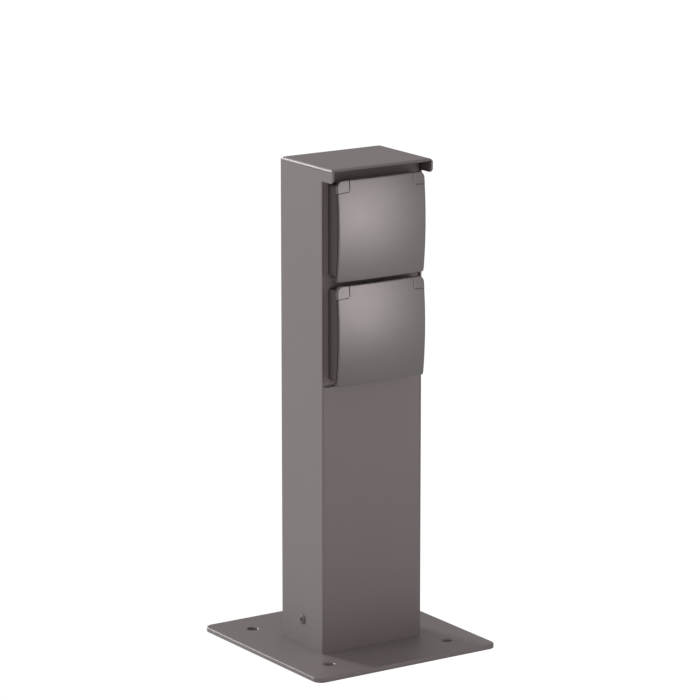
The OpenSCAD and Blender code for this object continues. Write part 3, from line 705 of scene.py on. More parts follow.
class Finishes:
    """The finishes of this post, by the record's material slots."""

    paint = Finish(
        "powder_coat", Skin.GRAINED, (0.100, 0.082, 0.082), 0.52, grain=1400.0, bump=0.10, dust=0.05
    )
    lid_plastic = Finish(
        "lid_satin",
        Skin.GRAINED,
        (0.056, 0.045, 0.045),
        0.32,
        grain=2600.0,
        bump=0.035,
        mottle=0.03,
        # A large share: painted light, paler upward faces standing in for light in the gap between the lids.
        dust=0.8,
        specular=0.75,
    )
    frame_plastic = Finish(
        "frame_moulding", Skin.GRAINED, (0.066, 0.052, 0.052), 0.6, grain=2200.0, bump=0.08, specular=0.2
    )
    # Carrier plate, seen in the shaded recess under the hood, beside the lids and between them: its colour is
    # lifted above the post's paint to set their brightness, a painted fill light.
    dark_coat = Finish(
        "carrier_primer_painted_fill", Skin.GRAINED, (0.190, 0.155, 0.155), 0.6, grain=1600.0, bump=0.08, specular=0.2
    )
    steel = Finish(
        "zinc_plate", Skin.METAL, (0.55, 0.55, 0.56), 0.34, grain=900.0, bump=0.04, mottle=0.35, metallic=1.0
    )
    screw_steel = Finish(
        "coated_screw", Skin.GRAINED, (0.102, 0.084, 0.084), 0.7, grain=1800.0, bump=0.06, specular=0.2
    )
    brass = Finish(
        "plain_brass", Skin.METAL, (0.72, 0.54, 0.25), 0.3, grain=1000.0, bump=0.03, mottle=0.4, metallic=1.0
    )
    rubber = Finish(
        "black_rubber", Skin.GRAINED, (0.022, 0.021, 0.021), 0.7, grain=1800.0, bump=0.12, mottle=0.2
    )
    moulding = Finish(
        "ivory_moulding", Skin.GRAINED, (0.70, 0.66, 0.58), 0.4, grain=2000.0, bump=0.04, mottle=0.04
    )
    live_wire = Finish("brown_sheath", Skin.GRAINED, (0.14, 0.055, 0.03), 0.42, bump=0.03)
    neutral_wire = Finish("blue_sheath", Skin.GRAINED, (0.03, 0.10, 0.38), 0.42, bump=0.03)
    earth_wire = Finish("green_yellow_sheath", Skin.STRIPED, (0.05, 0.28, 0.06), 0.42, bump=0.03)

    @classmethod
    def of(cls, slot: str) -> Finish:
        """The finish of a slot."""
        return getattr(cls, slot)


def show(name: str, data: bpy.types.ID) -> bpy.types.Object:
    """Puts an object that shows some data into the scene.

    Args:
        name: Of the object.
        data: What it shows.

    Returns:
        The object.
    """
    made = bpy.data.objects.new(name, data)
    bpy.context.scene.collection.objects.link(made)
    return made


def make_piece(
    name: str, shell: Shell, slot: str, body: str, stands_for: Sequence[str], bevel: float = 0.0
) -> bpy.types.Object:
    """Makes a shell one finished object that moves with a body.

    Args:
        name: Of the object.
        shell: Its surface, in the part's frame and in millimetres.
        slot: Material slot of the record that it is finished in.
        body: Body that it rides on.
        stands_for: Nodes of the frame that it takes the place of.
        bevel: Width of a rounded edge on every sharp edge, in millimetres, or 0.

    Returns:
        The object.
    """
    mesh = bpy.data.meshes.new(name)
    mesh.from_pydata((shell.points * MM).tolist(), [], shell.quads.tolist() + shell.tris.tolist())
    mesh.polygons.foreach_set("use_smooth", np.ones(len(mesh.polygons), bool))
    mesh.set_sharp_from_angle(angle=SHARP_TURN)
    mesh.materials.append(Finishes.of(slot).material())
    made = show(name, mesh)
    if bevel:
        edge = made.modifiers.new("soft_edges", "BEVEL")
        edge.width = bevel * MM
        edge.segments = 3
        edge.limit_method = "ANGLE"
        edge.angle_limit = SHARP_TURN
    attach(made, body)
    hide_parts(*stands_for)
    LOG.info("%s: %d points on %s", name, len(shell.points), body)
    return made


@dataclass
class BasePlate:
    """Square plate with rounded corners, four anchor holes and the hole for the cable's grommet."""

    side: float = 182.0
    thickness: float = 4.0
    corner_r: float = 8.0
    edge_r: float = 1.1
    under_r: float = 0.4
    anchor_pitch: float = 120.0
    anchor_r: float = 4.5
    cable_y: float = -3.3
    cable_r: float = 13.05

    def build(self) -> Shell:
        """Plate with its holes, all edges rounded.

        Returns:
            The shell.
        """
        half, anchor = self.side / 2, self.anchor_pitch / 2
        loops = [Outline.box(-half, half, -half, half, self.corner_r, 14)]
        for x in (-anchor, anchor):
            loops += [Outline.circle(x, y, self.anchor_r, 40).hole() for y in (-anchor, anchor)]
        loops.append(Outline.circle(0, self.cable_y, self.cable_r).hole())
        return plate(loops, self.thickness, self.under_r, self.edge_r)

    def dress(self) -> None:
        """Makes the painted plate."""
        make_piece("base_plate_coated", self.build(), "paint", "post", ["base_plate"])


@dataclass
class Post:
    """Tube of folded sheet with a window for the sockets, its side walls run forward as the hood's cheeks."""

    width: float = 100.0
    front_y: float = -34.8
    rear_y: float = 28.2
    foot_z: float = BasePlate.thickness
    top_z: float = 418.5
    window_z: float = 235.0
    wall: float = 2.0
    edge_r: float = 0.5
    inner_edge_r: float = 0.8
    lap_edge_r: float = 0.2
    corner_r: float = 0.6
    tip_y: float = -50.8
    cheek_z: float = 409.2
    cheek_r: float = 4.0
    roof_t: float = 2.5
    roof_edge_r: float = 2.4
    roof_corner_r: float = 2.5
    lip_thin: float = 0.45
    tuck: float = 0.9
    shy: float = 0.02

    def build_side(self, way: Way) -> Shell:
        """One side wall with its cheek, its foot and top tucked into the plates that they stand against.

        Args:
            way: The side that it looks to.

        Returns:
            The shell.
        """
        low, high = self.foot_z - self.tuck, self.top_z + self.tuck
        corners = [
            (self.front_y, low),
            (self.rear_y, low),
            (self.rear_y, high),
            (self.tip_y, high),
            (self.tip_y, self.cheek_z),
            (self.front_y, self.cheek_z),
        ]
        rim = Outline.polygon(corners, [0, 0, 0, 0, self.cheek_r, self.corner_r], 10)
        inner = self.width / 2 - self.wall
        sheet = plate([rim], self.wall, self.inner_edge_r, self.edge_r)
        return sheet.placed((-inner if way is Way.LEFTWARDS else inner, 0, 0), way)

    def build_panel(self, way: Way) -> Shell:
        """Front wall under the window, or whole rear wall, a hair behind the side walls' edges, which lap it.

        Args:
            way: FACING for the front, BACKWARDS for the rear.

        Returns:
            The wall's shell.
        """
        front = way is Way.FACING
        half = self.width / 2 - self.wall / 2
        top = self.window_z if front else self.top_z + self.tuck
        back = self.wall + self.shy
        rim = Outline.box(-half, half, self.foot_z - self.tuck, top, self.corner_r)
        sheet = plate([rim], self.wall, self.lap_edge_r, self.edge_r)
        return sheet.placed((0, self.front_y + back if front else self.rear_y - back, 0), way)

    def build_roof(self) -> Shell:
        """Roof plate, flush with the walls, with well rounded upper edges and a thinned front lip.

        Returns:
            The shell.
        """
        half = self.width / 2
        rim = Outline.box(-half, half, self.tip_y, self.rear_y, self.roof_corner_r, 12)
        roof = plate([rim], self.roof_t, 0, self.roof_edge_r, steps=8)
        ahead = np.clip(1 - (roof.points[:, 1] - self.tip_y) / self.roof_corner_r, 0, 1)
        below = self.roof_t - roof.points[:, 2]
        roof.points[:, 2] = self.roof_t - below * (1 - self.lip_thin * ahead)
        return roof.moved(0, 0, self.top_z)

    def dress(self) -> None:
        """Makes the painted walls and the roof."""
        walls = {
            "left": self.build_side(Way.LEFTWARDS),
            "right": self.build_side(Way.RIGHTWARDS),
            "front": self.build_panel(Way.FACING),
            "rear": self.build_panel(Way.BACKWARDS),
        }
        for name, shell in walls.items():
            make_piece(f"post_{name}_wall", shell, "paint", "post", ["post_tube"])
        make_piece("roof_plate_coated", self.build_roof(), "paint", "post", ["roof_plate"])


@dataclass
class FixingScrews:
    """Domed screws with a hexagon recess, one low on each side of the post."""

    head_r: float = 4.75
    head_h: float = 1.0
    shank_r: float = 2.5
    shank_l: float = 7.0
    hex_af: float = 3.0
    hex_depth: float = 1.6
    hex_rise: float = 0.06
    hex_mouth: float = 1.3
    hex_rows: tuple[tuple[float, float], ...] = ((1.14, 0.0), (1.05, 0.05), (1.0, 0.2))
    hex_point: float = 0.5
    tip: float = 0.4
    brim: float = 0.25
    sides: int = 96
    post_half: float = Post.width / 2
    y: float = (Post.front_y + Post.rear_y) / 2
    z: float = 27.0

    def build(self, way: Way) -> Shell:
        """One screw.

        Rows of radius and height run from the shank's end over the dome to the recess. From the recess's rim
        on, the radius at each angle is that of a hexagon: half the width across flats over the cosine of the
        angle from the middle of the nearest flat.

        Args:
            way: The side that it looks to.

        Returns:
            The screw's shell.
        """
        flat_r = self.hex_af / 2
        angle = np.arange(self.sides) * 2 * np.pi / self.sides
        hexagon = flat_r / np.cos((angle + np.pi / 6) % (np.pi / 3) - np.pi / 6)
        dome_r = (self.head_r**2 + self.head_h**2) / (2 * self.head_h)
        start, stop = math.asin(self.head_r / dome_r), math.asin(flat_r * self.hex_mouth / dome_r)
        turn = np.linspace(start, stop, 14)[1:]
        dome = np.column_stack([dome_r * np.sin(turn), self.head_h - dome_r + dome_r * np.cos(turn)])
        low = [
            (0, -self.shank_l),
            (self.shank_r - self.tip, -self.shank_l),
            (self.shank_r, self.tip - self.shank_l),
            (self.shank_r, 0),
            (self.head_r - self.brim, 0),
            (self.head_r, self.brim),
        ]
        round_rows = np.vstack([low, dome])
        end = [(1.0, self.hex_depth), (0.0, self.hex_depth + self.hex_point)]
        sunk = np.vstack([self.hex_rows, end])
        radius = np.vstack([round_rows[:, :1].repeat(self.sides, axis=1), sunk[:, :1] * hexagon])
        rim = round_rows[-1, 1] + self.hex_rise
        screw = turned(radius, np.concatenate([round_rows[:, 1], rim - sunk[:, 1]]))
        out = -self.post_half if way is Way.LEFTWARDS else self.post_half
        return screw.placed((out, self.y, self.z), way)

    def dress(self) -> None:
        """Makes both screws."""
        for name, way in (("left", Way.LEFTWARDS), ("right", Way.RIGHTWARDS)):
            make_piece(f"fixing_screw_{name}", self.build(way), "screw_steel", "post", ["post_fixing_screws"])


@dataclass(frozen=True)
class LidForm:
    """The bowed form of a lid and its hinge caps, with the dish behind it.

    Heights are over the lid's middle, and depths are in front of the post's front plane.
    """

    width: float = 86.8
    height: float = 85.0
    thickness: float = 3.0
    reach: float = 17.2
    bow_across: float = 550.0
    bow_up: float = 330.0
    edge_r: float = 0.6
    inner_edge_r: float = 0.5
    flange: float = 6.5
    hinge_y: float = 37.0
    hinge_p: float = 9.0
    dish_y: float = -4.0

    def edge(self, inset: float) -> tuple[float, float, float, float]:
        """Rounded top edge of the form, or of the one a distance inside it.

        Args:
            inset: Distance behind the front surface.

        Returns:
            Its radius, the height and depth of its centre, and the lean where it runs into the large bow.
        """
        radius = max(self.edge_r - inset, self.inner_edge_r)
        bow = self.bow_up - inset - radius
        y = self.height / 2 - inset - radius
        return radius, y, self.reach - self.bow_up + math.sqrt(bow**2 - y**2), math.asin(y / bow)

    def flange_run(self, inset: float) -> float:
        """How far the flanges run on behind the centres of the rounded edges."""
        sag = self.bow_up - math.sqrt(self.bow_up**2 - self.edge(0.0)[1] ** 2)
        return self.edge(inset)[2] - (self.reach - self.flange - sag)

    def section(self, lean: Array, inset: float) -> tuple[Array, Array]:
        """Side view by the surface's lean: the large bow up to its tangent, and the edge's circle beyond.

        Args:
            lean: Angle of the way out, up from straight forward.
            inset: Distance behind the front surface.

        Returns:
            Heights over the lid's middle, and depths.
        """
        radius, edge_y, edge_p, tangent = self.edge(inset)
        on_edge = np.abs(lean) > tangent
        bow_r = self.bow_up - inset
        y = np.where(on_edge, np.sign(lean) * edge_y + radius * np.sin(lean), bow_r * np.sin(lean))
        p = np.where(on_edge, edge_p + radius * np.cos(lean), self.reach - self.bow_up + bow_r * np.cos(lean))
        return y, p

    def across(self, x: Array, p: Array) -> Array:
        """Depth at x of what lies at a depth in the middle: turned about an upright axis behind it."""
        axis = self.reach - self.bow_across
        return axis + np.sqrt((p - axis) ** 2 - x**2)

    def depth(self, x: Array, y: Array, inset: float = 0.0) -> Array:
        """Depth of the bow at a place seen from the front, without its rounded edges."""
        return self.across(x, self.reach - self.bow_up + np.sqrt((self.bow_up - inset) ** 2 - y**2))


@dataclass
class Lid:
    """Bowed lid with curled flanges, cut out at its top corners for the hinge caps."""

    form: LidForm = LidForm()
    notch_x: float = 31.6
    notch_y: float = 31.0
    notch_r: float = 7.3
    notch_corner_r: float = 2.2
    even_x: float = 35.0
    side_hold: float = 0.8
    notch_hold: float = 0.9
    climb_hold: float = 0.988
    lean_holds: tuple[float, float] = (0.0028, 0.006)
    flange_rows: tuple[float, ...] = (1.0, 0.8, 0.2, 0.0)
    corner_r: float = 1.5
    side_r: float = 0.8
    side_slant: float = 1.2
    knuckle_w: float = 11.0
    knuckle_r: float = 3.6
    knuckle_run: float = 3.4
    knuckle_edge_r: float = 0.4
    knuckle_corner_r: float = 0.3
    bore_r: float = 1.56
    rib_r: float = 25.0
    rib_half: float = 1.25
    rib_edge: float = 0.3
    rib_sink: float = 0.4
    seal_back: float = 8.3
    seal_t: float = 2.2
    seal_half: float = 2.0
    seal_full: float = 0.7
    ring_steps: int = 96

    def notch_lean(self, x: Array, inset: float) -> Array:
        """Lean of the surface at the notch's lower edge.

        The edge is where the surface meets a cylinder about the hinge, found in a few rounds from a first
        guess; a quarter circle rounds its inner corner.

        Args:
            x: Places across, at least as far out as the notch's inner side.
            inset: Distance behind the front surface.

        Returns:
            The lean at each place.
        """
        y = np.full_like(x, self.notch_y)
        for _ in range(8):
            ahead = self.form.depth(x, y, inset) - self.form.hinge_p
            y = self.form.hinge_y - np.sqrt(self.notch_r**2 - ahead**2)
        short = np.clip(self.notch_corner_r - (x - self.notch_x), 0, self.notch_corner_r)
        y = y + self.notch_corner_r - np.sqrt(self.notch_corner_r**2 - short**2)
        return np.arcsin(y / (self.form.bow_up - inset))

    def surface(self, lean: Array, run: Array, x: Array, inset: float) -> Array:
        """Points of the lid's front or inside.

        Args:
            lean: Rows by columns, the surface's lean.
            run: Rows, how far the flange has run back.
            x: Columns, places across.
            inset: 0 for the front, the thickness for the inside.

        Returns:
            Rows by columns by x, height and depth. Near the bottom, the outermost columns follow the rounded
            corner; the front falls back over a quarter circle at the sides.
        """
        y, p = self.form.section(lean, inset)
        half = self.form.width / 2
        over = np.clip(np.abs(x) - half + self.side_r, 0, self.side_r)
        fall = self.side_r - np.sqrt(self.side_r**2 - over**2) if inset == 0 else np.zeros_like(x)
        near = np.clip(self.corner_r - (y + self.form.height / 2), 0, self.corner_r)
        end = half - self.corner_r + np.sqrt(self.corner_r**2 - near**2)
        share = np.clip((np.abs(x) - self.notch_x) / (half - self.notch_x), 0, 1)
        x = np.sign(x) * (np.abs(x) - share * (half - end))
        return np.stack([x, y, self.form.across(x, p - run[:, None]) - fall], axis=-1)

    def blocks(self, inset: float) -> tuple[Array, Array, int]:
        """The surface in two grids: the middle with the whole height, and the right side up to its notch.

        The inside ends a little short of the front, so the lid's side edge slants.

        Args:
            inset: 0 for the front, the thickness for the inside.

        Returns:
            The middle grid, the right grid, and how many of the middle's rows lie up to the notch.
        """
        form = self.form
        half = form.width / 2
        turn = np.linspace(0, np.pi / 2, 8)
        end = half - (self.side_slant if inset else 0.0)
        corner_x = self.notch_x + self.notch_corner_r * (1 - np.cos(turn))
        even_x = np.linspace(self.even_x, end - self.side_r - self.side_hold, 5)
        side_x = np.concatenate([corner_x, even_x, end - self.side_r + self.side_r * np.sin(turn)])
        inner = self.notch_x - self.notch_hold
        mid_x = np.concatenate([[-self.notch_x], np.linspace(-inner, inner, 44), [self.notch_x]])
        tangent = form.edge(inset)[3]
        run_low = np.array(self.flange_rows) * form.flange_run(inset)
        arc = np.linspace(-np.pi / 2, -tangent, 12)[1:]
        share = np.concatenate([np.linspace(0, self.climb_hold, 30)[1:], [1.0]])
        run = np.concatenate([run_low, np.zeros(len(arc) + len(share))])
        low = np.concatenate([np.full(4, -np.pi / 2), arc])
        notch = self.notch_lean(side_x, inset)

        def upto(top: Array) -> Array:
            """Leans of all rows up to the notch, for columns with a given lean at the notch."""
            climb = -tangent + share[:, None] * (top[None] + tangent)
            return np.vstack([np.broadcast_to(low[:, None], (len(low), len(top))), climb])

        right = self.surface(upto(notch), run, side_x, inset)
        first = notch[0]
        near, next_up = (first + hold for hold in self.lean_holds)
        above = np.concatenate([[near], np.linspace(next_up, tangent, 5)])
        crown = np.concatenate([above, -arc[::-1][1:], np.full(4, np.pi / 2)])
        run_top = np.concatenate([np.zeros(len(crown) - 3), run_low[::-1][1:]])
        over = np.broadcast_to(crown[:, None], (len(crown), len(mid_x)))
        lean = np.vstack([upto(np.full(len(mid_x), first)), over])
        middle = self.surface(lean, np.concatenate([run, run_top]), mid_x, inset)
        return middle, right, len(run)

    def rim(self, middle: Array, right: Array, rows: int) -> Array:
        """The lid's edge, anticlockwise seen from the front.

        Args:
            middle: The middle grid.
            right: The right grid.
            rows: Rows of the middle up to the notch.

        Returns:
            Points of the edge.
        """
        left = right * np.array([-1.0, 1.0, 1.0])
        return np.vstack(
            [
                left[0, ::-1],
                middle[0],
                right[0],
                right[:, -1],
                right[-1, ::-1],
                middle[rows - 1 :, -1],
                middle[-1, ::-1],
                middle[rows - 1 :, 0][::-1],
                left[-1],
                left[:, -1][::-1],
            ]
        )

    def build(self) -> Shell:
        """The lid's skin: front, inside, and the walls that join them round its edge.

        Returns:
            The shell.
        """
        shells, rims = [], []
        for inset, inside in ((0.0, False), (self.form.thickness, True)):
            middle, right, rows = self.blocks(inset)
            side = Shell.grid(right)
            parts = [Shell.grid(middle), side, side.mirrored()]
            shells += [s.flipped() for s in parts] if inside else parts
            rims.append(self.rim(middle, right, rows))
        shells.append(Shell.grid(np.stack(rims[::-1]), wrap=True))
        return Shell.joined(shells).welded()

    def build_knuckles(self) -> Shell:
        """Both hinge eyes: a half round behind the pin, straight sides up to the lid, and the pin's bore.

        Returns:
            The shell.
        """
        y, p, r = self.form.hinge_y, self.form.hinge_p, self.knuckle_r
        angle = np.linspace(np.pi, 2 * np.pi, 25)
        back = np.column_stack([y + r * np.cos(angle), p + r * np.sin(angle)])
        way = np.column_stack([np.cos(angle), np.sin(angle)])
        end = p + self.knuckle_run
        radii = [0, self.knuckle_corner_r, self.knuckle_corner_r, 0]
        front = Outline.polygon([(y + r, p), (y + r, end), (y - r, end), (y - r, p)], radii)
        rim = Outline(np.vstack([back, front.points[1:-1]]), np.vstack([way, front.outward[1:-1]]))
        bore = Outline.circle(y, p, self.bore_r, 32).hole()
        eye = plate([rim, bore], self.knuckle_w, self.knuckle_edge_r, self.knuckle_edge_r, 4)
        right = eye.placed((self.notch_x - self.knuckle_w, 0, 0), Way.RIGHTWARDS)
        return Shell.joined([right, right.mirrored()])

    def build_rib(self) -> Shell:
        """Ring behind the lid that carries the seal: a section turned about the dish, sunk in the lid.

        Returns:
            The shell.
        """
        angle = np.arange(self.ring_steps) * 2 * np.pi / self.ring_steps
        back, edge = self.seal_back + self.seal_t, self.rib_edge
        inner, outer = self.rib_r - self.rib_half, self.rib_r + self.rib_half
        radius = np.array([outer, outer, outer - edge, inner + edge, inner, inner])[:, None]
        x, y = radius * np.cos(angle), self.form.dish_y + radius * np.sin(angle)
        level = np.array([0, back + edge, back, back, back + edge, 0])
        p = level[:, None].repeat(self.ring_steps, axis=1)
        p[[0, -1]] = self.form.depth(x[[0, -1]], y[[0, -1]], self.form.thickness) + self.rib_sink
        return Shell.grid(np.stack([x, y, p], axis=-1), wrap=True).flipped()

    def build_seal(self) -> Shell:
        """Rubber ring: a full, rounded section turned about the dish, flat against the rib.

        Returns:
            The shell.
        """
        turn = np.linspace(0, np.pi, 15)
        front = self.seal_back + self.seal_t
        wide = np.sign(np.cos(turn)) * np.abs(np.cos(turn)) ** self.seal_full
        lip_r = self.rib_r + self.seal_half * wide
        lip_p = front - self.seal_t * np.sin(turn) ** self.seal_full
        profile = np.column_stack([np.append(lip_r, lip_r[0]), np.append(lip_p, lip_p[0])])
        return lathe(profile, self.ring_steps).flipped().moved(0, self.form.dish_y, 0)


@dataclass
class HingeCaps:
    """Fixed squares in a lid's top corners that hold the hinge pin."""

    form: LidForm = LidForm()
    inner_x: float = 31.9
    low_y: float = 31.5
    corner_radii: tuple[float, ...] = (2.0, 0.8, 5.5, 0.7)
    ring_shares: tuple[float, ...] = (0.0, 0.25, 0.5, 0.7, 0.84, 0.92)
    block_x: float = 40.0
    block_t: float = 5.0
    block_in: float = 0.1
    block_short: tuple[float, float] = (1.0, 0.6)
    block_edge_r: float = 0.3
    block_radii: tuple[float, ...] = (0.5, 0.5, 2.5, 0.5)
    back_p: float = 6.3
    turn_r: float = 7.0
    edge_r: float = 0.5

    def build(self) -> Shell:
        """Both caps, each a plate with a block behind it.

        The plate's outline shrinks towards its middle in rings; each ring's depth is the lid's own bow, and
        the rows at the rim go round a small edge, back by the lid's thickness, and in again. Nothing stands
        further than the turning radius from the hinge, so the lower side follows that cylinder.

        Returns:
            The shell.
        """
        half, top = self.form.width / 2, self.form.height / 2
        corners = [(self.inner_x, self.low_y), (half, self.low_y), (half, top), (self.inner_x, top)]
        rim = Outline.polygon(corners, self.corner_radii, 10).resampled(150)
        middle = rim.points.mean(axis=0)
        share = np.array(self.ring_shares)[:, None, None]
        inner = rim.points - rim.outward * self.edge_r
        rings = middle + (inner - middle) * share
        edge = quarter_round(self.edge_r, 4)
        rounds = rim.points[None] - rim.outward[None] * edge[:, None, :1]
        seen = np.concatenate([rings, rounds])
        drop = np.concatenate([np.zeros(len(rings)), edge[:, 1]])
        p = self.form.depth(seen[..., 0], seen[..., 1]) - drop[:, None]
        front = np.concatenate([seen, p[..., None]], axis=2)
        steps = np.linspace(0, 1, 6)[1:, None]
        wall = front[-1][None].repeat(len(steps), axis=0)
        wall[..., 2] -= (self.form.thickness - self.edge_r) * steps
        back = rings[::-1]
        deep = self.form.depth(back[..., :1], back[..., 1:], self.form.thickness)
        points = np.concatenate([front, wall, np.concatenate([back, deep], axis=2)])
        reach = np.sqrt(np.clip(self.turn_r**2 - (points[..., 2] - self.form.hinge_p) ** 2, 0, None))
        points[..., 1] = np.maximum(points[..., 1], self.form.hinge_y - reach)
        face = Shell.grid(points, wrap=True).flipped().welded()
        x, y = self.inner_x + self.block_in, self.low_y + self.block_in
        outer_y, inner_y = (top - short for short in self.block_short)
        hidden = [(x, y), (self.block_x, y), (self.block_x, outer_y), (x, inner_y)]
        rim = Outline.polygon(hidden, self.block_radii, 5)
        block = plate([rim], self.block_t, self.block_edge_r, 0, 3)
        cap = Shell.joined([face, block.moved(0, 0, self.back_p)])
        return Shell.joined([cap, cap.mirrored()])


@dataclass
class SocketFrame:
    """Dark frame behind a lid: a wall that follows the lid's bow, lowered at the hinge, and its floor."""

    form: LidForm = LidForm()
    half: float = 42.8
    tall: float = 78.0
    corner_r: float = 2.8
    wall: float = 2.5
    lip: float = 0.45
    floor_in: float = 0.3
    floor_sink: float = 0.5
    back: float = -1.2
    floor: float = 1.3
    rim_gap: float = 0.5
    slack: float = 0.05
    cap_x: float = HingeCaps.inner_x
    cap_low: float = 31.2
    cap_back: float = 6.2
    scoop_r: float = 7.9
    hole_r: float = 27.0

    def rim_depth(self, x: Array, y: Array) -> Array:
        """Depth of the rim: just behind the lid or the caps, or on the cylinder that clears the lid's edge.

        Args:
            x: Places across.
            y: Heights.

        Returns:
            Depths.
        """
        rim = self.form.depth(x, y, self.form.thickness + self.rim_gap)
        room = np.clip(self.scoop_r**2 - (y - self.form.hinge_y) ** 2, 0, None)
        scoop = self.form.hinge_p - np.sqrt(room)
        hinge = np.where(np.abs(x) > self.cap_x, self.cap_back, scoop)
        lowered = (y > self.cap_low) & (np.abs(x) < self.half - self.wall - self.slack)
        return np.where(lowered, hinge, rim)

    def build(self) -> Shell:
        """Wall and floor: the wall's section is carried round the frame, as high as the rim's depth.

        Returns:
            The shell.
        """
        half, top = self.half, self.tall / 2
        rim = Outline.box(-half, half, -top, top, self.corner_r).resampled(420)
        lip, turn = self.lip, self.lip / 3
        inset = np.array([0, 0, turn, lip, self.wall - lip, self.wall - turn, self.wall, self.wall])
        drop = np.array([0, lip, turn, 0, 0, turn, lip, 0])
        seen = rim.points[None] - rim.outward[None] * inset[:, None, None]
        p = self.rim_depth(seen[..., 0], seen[..., 1]) - drop[:, None]
        p[0], p[-1] = self.back, self.floor - self.floor_sink
        wall = Shell.grid(np.concatenate([seen, p[..., None]], axis=2), wrap=True)
        half, top = half - self.floor_in, top - self.floor_in
        outer = Outline.box(-half, half, -top, top, self.corner_r - self.floor_in)
        hole = Outline.circle(0, self.form.dish_y, self.hole_r, 72).hole()
        floor = plate([outer, hole], self.floor - self.back, 0, 0)
        return Shell.joined([wall, floor.moved(0, 0, self.back)])


@dataclass
class SocketFace:
    """Cover plate with the round dish, its pin holes, and the two spring legs of the earth clip."""

    dish_y: float = LidForm.dish_y
    half: float = 39.8
    tall: float = 63.0
    corner_r: float = 3.0
    face_p: float = 8.0
    skirt_p: float = 1.35
    dish_r: float = 19.5
    dish_wall: float = 1.8
    dish_fillet: float = 0.8
    dish_turn: float = 0.25
    dish_lap: float = 0.5
    face_r: float = 0.9
    floor_p: float = -9.5
    floor_t: float = 2.0
    floor_lap: float = 0.9
    hole_edge_r: float = 0.35
    hole_hold: float = 0.15
    round_steps: int = 96
    pin_pitch: float = 19.0
    pin_hole_r: float = 3.0
    clip_half: float = 2.0
    clip_y: float = 18.6
    clip_front: float = 2.75
    clip_t: float = 0.8
    clip_base_p: float = -12.7
    clip_bulge: float = 0.9
    clip_splay: float = 0.25
    clip_lap: float = 0.4
    clip_edge_r: float = 0.15
    clip_hold: float = 0.1
    slot_half: float = 2.5
    slot_in: float = 0.6
    slot_out: float = 0.55
    slot_r: float = 0.3
    strip_half: float = 3.5
    strip_corner_r: float = 0.5
    strip_edge_r: float = 0.1

    def build_cover(self) -> Shell:
        """Face with its rounded edges, the dish's wall, and the dish's floor with its holes.

        Returns:
            The shell.
        """
        rim = Outline.box(-self.half, self.half, -self.tall / 2, self.tall / 2, self.corner_r)
        mouth = Outline.circle(0, 0, self.dish_r, self.round_steps)
        face = plate([rim, mouth.hole()], self.face_p - self.skirt_p, 0, self.face_r)
        outer, seat = self.dish_r + self.dish_wall, self.skirt_p + self.dish_lap
        low, foot = self.floor_p - self.floor_t, self.dish_r - self.dish_fillet
        ring = [
            (outer, low),
            (outer, seat),
            (self.dish_r, seat),
            (self.dish_r, self.floor_p + self.dish_fillet),
            (self.dish_r - self.dish_turn, self.floor_p + self.dish_turn),
            (foot, self.floor_p),
            (foot, low),
            (outer, low),
        ]
        loops = [Outline.circle(0, 0, self.dish_r + self.floor_lap, self.round_steps)]
        for side in (-1, 1):
            loops.append(Outline.circle(side * self.pin_pitch / 2, 0, self.pin_hole_r, 32).hole())
        inner_y, outer_y = self.clip_y - self.slot_in, self.clip_y + self.slot_out
        for y0, y1 in ((inner_y, outer_y), (-outer_y, -inner_y)):
            loops.append(Outline.box(-self.slot_half, self.slot_half, y0, y1, self.slot_r, 3).hole())
        floor = plate(loops, self.floor_t, 0, self.hole_edge_r, 4, self.hole_hold)
        wall = lathe(ring, self.round_steps)
        pieces = [face.moved(0, 0, self.skirt_p), wall, floor.moved(0, 0, low)]
        return Shell.joined(pieces).moved(0, self.dish_y, 0)

    def build_clip(self) -> Shell:
        """Earth clip: a flat strip behind the floor and two legs, each bulging inwards like half a wave.

        Returns:
            The shell.
        """
        p = np.linspace(self.clip_base_p + self.clip_lap, self.clip_front, 40)
        rise = np.clip((p - self.floor_p) / (self.clip_front - self.floor_p), 0, 1)
        bulge = self.clip_bulge * np.sin(np.pi * rise) ** 2
        line = np.column_stack([self.clip_y - bulge + self.clip_splay * rise, p])
        rim, edge_r = Outline.strip(line, self.clip_t), self.clip_edge_r
        leg = plate([rim], 2 * self.clip_half, edge_r, edge_r, 3, self.clip_hold)
        leg = leg.placed((-self.clip_half, 0, 0), Way.RIGHTWARDS)
        half = self.clip_y + self.clip_t / 2
        rim = Outline.box(-self.strip_half, self.strip_half, -half, half, self.strip_corner_r)
        strip = plate([rim], self.clip_t, self.strip_edge_r, self.strip_edge_r, 2, self.clip_hold)
        strip = strip.moved(0, 0, self.clip_base_p)
        other = Shell(leg.points * np.array([-1.0, -1.0, 1.0]), leg.quads, leg.tris)
        return Shell.joined([leg, other, strip]).moved(0, self.dish_y, 0)


